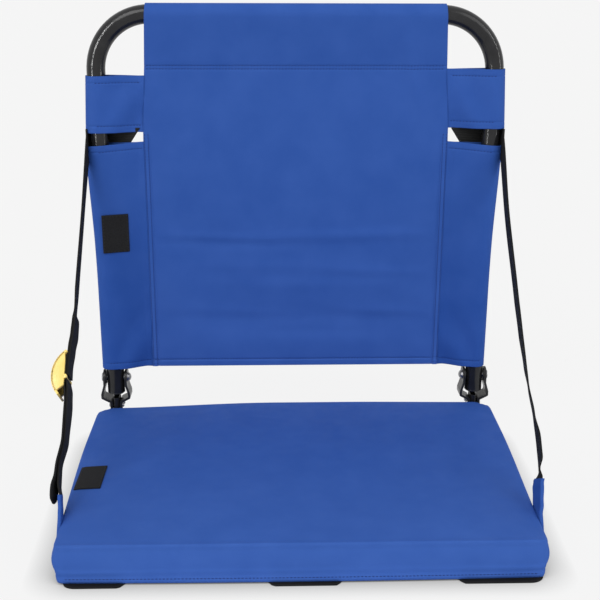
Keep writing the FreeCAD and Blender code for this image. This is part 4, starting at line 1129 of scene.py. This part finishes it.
def strap_frame(hand, run):
    """Centre, across and outward directions of a strap at a distance from its foot."""
    keys = STRAP_KEYS[hand]
    aside, twist = keys[-1][1:]
    for (start, from_aside, from_twist), (end, to_aside, to_twist) in zip(keys, keys[1:]):
        if run < end * MM:
            share = ramp(start * MM, end * MM, run)
            aside = from_aside + (to_aside - from_aside) * share
            twist = from_twist + (to_twist - from_twist) * share
            break
    turn = math.radians(twist)
    out = Vector((hand, 0, 0))
    across = strap_across * math.cos(turn) + out * math.sin(turn)
    outward = out * math.cos(turn) - strap_across * math.sin(turn)
    return STRAP_FOOT + strap_along * run + out * (aside * MM), across, outward


def band_lie(hand):
    """The sewn band: from the strap's head, round behind the tube, then along the wing's rear cloth."""
    radius = BAND_X - tube_x
    arc = radius * (QUARTER + math.asin(LAYER_RADIUS / WING_REACH))
    front = STRAP_WIDTH / 2
    total = front + arc + BAND_RUN
    band_hub = Vector((tube_x + lean_out(STRAP_HEAD.z), back_y, STRAP_HEAD.z))

    def lie(share):
        run = share * total
        angle = min(max(run - front, 0), arc) / radius
        spot = band_hub + Vector((math.cos(angle), math.sin(angle), 0)) * radius
        spot.y += min(run - front, 0)
        spot += Vector((-math.sin(angle), math.cos(angle), 0)) * max(run - front - arc, 0)
        return Vector((hand * spot.x, spot.y, spot.z)), upward

    return lie, total


right_lie, band_length = band_lie(1)
right_band = ribbon("strap_band_right", band_length, right_lie, slant=BAND_SLANT)
strap = ribbon("strap_webbing_right", strap_length, lambda share: strap_frame(1, share * strap_length)[:2])
join_into(strap, right_band)
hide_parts("strap_right")
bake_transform(strap)

# Left strap: the upper length is sewn round the buckle's bar, with its end doubled back on the inside.
# The lower length passes the same bar and hangs on outside as a loose tail with a rounded end.
BUCKLE_FROM_TOP = 261.5 * MM
DOUBLED_LENGTH = 60 * MM
DOUBLED_FROM = 2 * MM
DOUBLED_GAP = 0.3 * MM
TAIL_LENGTH = 117 * MM
TAIL_ROUND = 9 * MM
TAIL_SPREAD = math.radians(2)
TAIL_TURN = math.radians(11)
TURN_SPAN = (70 * MM, 110 * MM)
TAIL_NEAR = 1.7 * MM
NEAR_FROM = 25 * MM
TAIL_STAND = 4.5 * MM
STAND_SPAN = (90 * MM, 114 * MM)
TURN_RADIUS = 1.6 * MM
buckle_run = strap_length - BUCKLE_FROM_TOP


def upper_lie(share):
    """The upper length: from the buckle's bar to the strap's head."""
    return strap_frame(-1, buckle_run + share * BUCKLE_FROM_TOP)[:2]


def doubled_lie(share):
    """The doubled end: close along the inside of the upper length."""
    centre, across, outward = strap_frame(-1, buckle_run + DOUBLED_FROM + share * DOUBLED_LENGTH)
    return centre - outward * (STRAP_WALL + DOUBLED_GAP), across


def lower_lie(share):
    """The lower length: from its flap up to the bar, round it, and down again as the tail."""
    turn_length = math.pi * TURN_RADIUS
    run = share * (buckle_run + turn_length + TAIL_LENGTH)
    if run < buckle_run:
        return strap_frame(-1, run)[:2]
    angle = min((run - buckle_run) / TURN_RADIUS, math.pi)
    away = max(run - buckle_run - turn_length, 0)
    centre, across, outward = strap_frame(-1, buckle_run + TURN_RADIUS * math.sin(angle) - away)
    stand = TURN_RADIUS * (1 - math.cos(angle)) - (2 * TURN_RADIUS - TAIL_NEAR) * ramp(0, NEAR_FROM, away)
    stand += TAIL_STAND * ramp(*STAND_SPAN, away)
    turn = TAIL_TURN * ramp(*TURN_SPAN, away)
    tail_across = across * math.cos(turn) + outward * math.sin(turn)
    return centre + outward * stand + across * (away * math.sin(TAIL_SPREAD)), tail_across


left_lie, band_length = band_lie(-1)
left_band = ribbon("strap_band_left", band_length, left_lie, slant=BAND_SLANT)
doubled = ribbon("strap_doubled_end", DOUBLED_LENGTH, doubled_lie)
upper = ribbon("strap_webbing_upper_left", BUCKLE_FROM_TOP, upper_lie)
join_into(upper, left_band, doubled)
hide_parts("strap_upper_left")
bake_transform(upper)

lower = ribbon("strap_webbing_lower_left", buckle_run + TAIL_LENGTH, lower_lie, rounding=TAIL_ROUND)
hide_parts("strap_lower_left")
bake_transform(lower)

# Flaps: tabs of the cover's cloth folded round the straps' lower ends and sewn to the cushion's sides.
# The fold faces forward; at the open rear edge a little of the black webbing shows.
FLAP_FROM = -22 * MM
FLAP_FRONT = 12 * MM
FLAP_STAND = 1.3 * MM
FLAP_CELLS = 28
FLAP_RISE = 0.2
# side, hand, how far it reaches up the strap, where its rear edge is across the strap
FLAPS = (("right", 1, 27 * MM, -10 * MM), ("left", -1, 17 * MM, -1 * MM))
for name, hand, flap_to, flap_rear in FLAPS:
    flap_side = FLAP_FRONT - flap_rear
    flap_run = 2 * flap_side + math.pi * FLAP_STAND
    flap_height = flap_to - FLAP_FROM
    flap = cloth_grid(f"seat_flap_cloth_{name}", tab_cloth, FLAP_CELLS, FLAP_CELLS)
    for vertex in flap.data.vertices:
        run = vertex.co.x / FLAP_CELLS * flap_run
        angle = min(max(run - flap_side, 0) / FLAP_STAND, math.pi)
        reach = flap_rear + min(run, flap_side) - max(run - flap_side - math.pi * FLAP_STAND, 0)
        reach += FLAP_STAND * math.sin(angle)
        level = vertex.co.y / FLAP_CELLS * (flap_height + FLAP_RISE * (FLAP_FRONT - reach))
        centre, across, outward = strap_frame(hand, FLAP_FROM + level)
        vertex.co = centre + across * reach - outward * (FLAP_STAND * math.cos(angle))
    cloth_done(flap, LAYER_WALL)
    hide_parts(f"seat_flap_{name}")
    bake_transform(flap)

# Buckle: a ladder lock moulded in yellow plastic, with a curved leaf, two cheeks and a cross bar.
# The webbing passes round the bar, and the leaf is lifted to let it slip.
LEAF_UP = 26 * MM
LEAF_DOWN = 18 * MM
LEAF_NEAR = 0.3 * MM
LEAF_FAR = 6 * MM
LEAF_BULGE = 9.5 * MM
LEAF_WALL = 2.2 * MM
LEAF_STEPS = 18
LOCK_WIDTH = 25 * MM
LOCK_EDGE = 0.45 * MM
LOCK_CREASE = 35
CHEEK_WALL = 3.6 * MM
CHEEK_DEPTH = 12 * MM
CHEEK_CLEAR = 0.6 * MM
CHEEK_SPAN = (0.03, 0.92)
BAR_RADIUS = 1.3 * MM
BAR_SHORT = 2 * MM
BAR_POINTS = 16
LUG_RADIUS = 2 * MM
LUG_POINTS = 24
yellow = moulded("yellow_moulded_plastic", dark=(0.88, 0.63, 0.16), light=(0.96, 0.73, 0.22), dull=0.32)
leaf_top = Vector((LEAF_NEAR, LEAF_UP, 0))
leaf_foot = Vector((LEAF_FAR, -LEAF_DOWN, 0))
leaf_chord = leaf_foot - leaf_top
leaf_radius = (leaf_chord.length_squared / 4 + LEAF_BULGE ** 2) / (2 * LEAF_BULGE)
leaf_side = Vector((-leaf_chord.y, leaf_chord.x, 0)).normalized()
leaf_hub = (leaf_top + leaf_foot) / 2 - leaf_side * (leaf_radius - LEAF_BULGE)
leaf_sweep = 2 * math.asin(leaf_chord.length / 2 / leaf_radius)


def curved_bar(name, depth, wall, middle_z, from_share, to_share):
    """Sweep a flat section along the leaf's arc, between two shares of it."""
    start = Matrix.Rotation(-leaf_sweep * from_share, 3, "Z") @ (leaf_top - leaf_hub)
    radial = start.normalized()
    clear_selection()
    bpy.ops.mesh.primitive_plane_add(size=1)
    bar = fresh(name, yellow)
    for vertex in bar.data.vertices:
        inward = radial * (leaf_radius - depth * (vertex.co.x + 0.5))
        vertex.co = leaf_hub + inward + Vector((0, 0, middle_z + wall * vertex.co.y))
    sweep = leaf_sweep * (to_share - from_share)
    open_all(bar)
    bpy.ops.mesh.spin(steps=LEAF_STEPS, angle=sweep, center=leaf_hub, axis=(0, 0, 1))
    bpy.ops.object.mode_set(mode="OBJECT")
    face_outwards(bar, MERGE_GAP)
    return bar


def round_bar(name, points, radius, length, middle_z):
    """A short round bar across the buckle."""
    middle = (0, 0, middle_z)
    clear_selection()
    bpy.ops.mesh.primitive_cylinder_add(vertices=points, radius=radius, depth=length, location=middle)
    return fresh(name, yellow)


leaf = curved_bar("buckle_ladder_lock", LEAF_WALL, LOCK_WIDTH, 0, 0, 1)
cheek_z = (LOCK_WIDTH - CHEEK_WALL) / 2
lock_parts = []
for name, side in (("front", -cheek_z), ("rear", cheek_z)):
    cheek = curved_bar(f"buckle_cheek_{name}", CHEEK_DEPTH, CHEEK_WALL, side, *CHEEK_SPAN)
    for vertex in cheek.data.vertices:
        vertex.co.x = max(vertex.co.x, CHEEK_CLEAR)
    lock_parts += [cheek, round_bar(f"buckle_lug_{name}", LUG_POINTS, LUG_RADIUS, CHEEK_WALL, side)]
lock_parts.append(round_bar("buckle_bar", BAR_POINTS, BAR_RADIUS, LOCK_WIDTH - BAR_SHORT, 0))
join_into(leaf, *lock_parts)
finish_with(leaf, "BEVEL", width=LOCK_EDGE, segments=2, limit_method="ANGLE")
bar_place, _, bar_outward = strap_frame(-1, buckle_run)
lock_axes = Matrix((bar_outward, strap_along, bar_outward.cross(strap_along))).transposed()
for vertex in leaf.data.vertices:
    vertex.co = bar_place + bar_outward * (STRAP_WALL / 2) + lock_axes @ vertex.co
smoothed(leaf, LOCK_CREASE)
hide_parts("ladder_lock")
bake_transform(leaf)
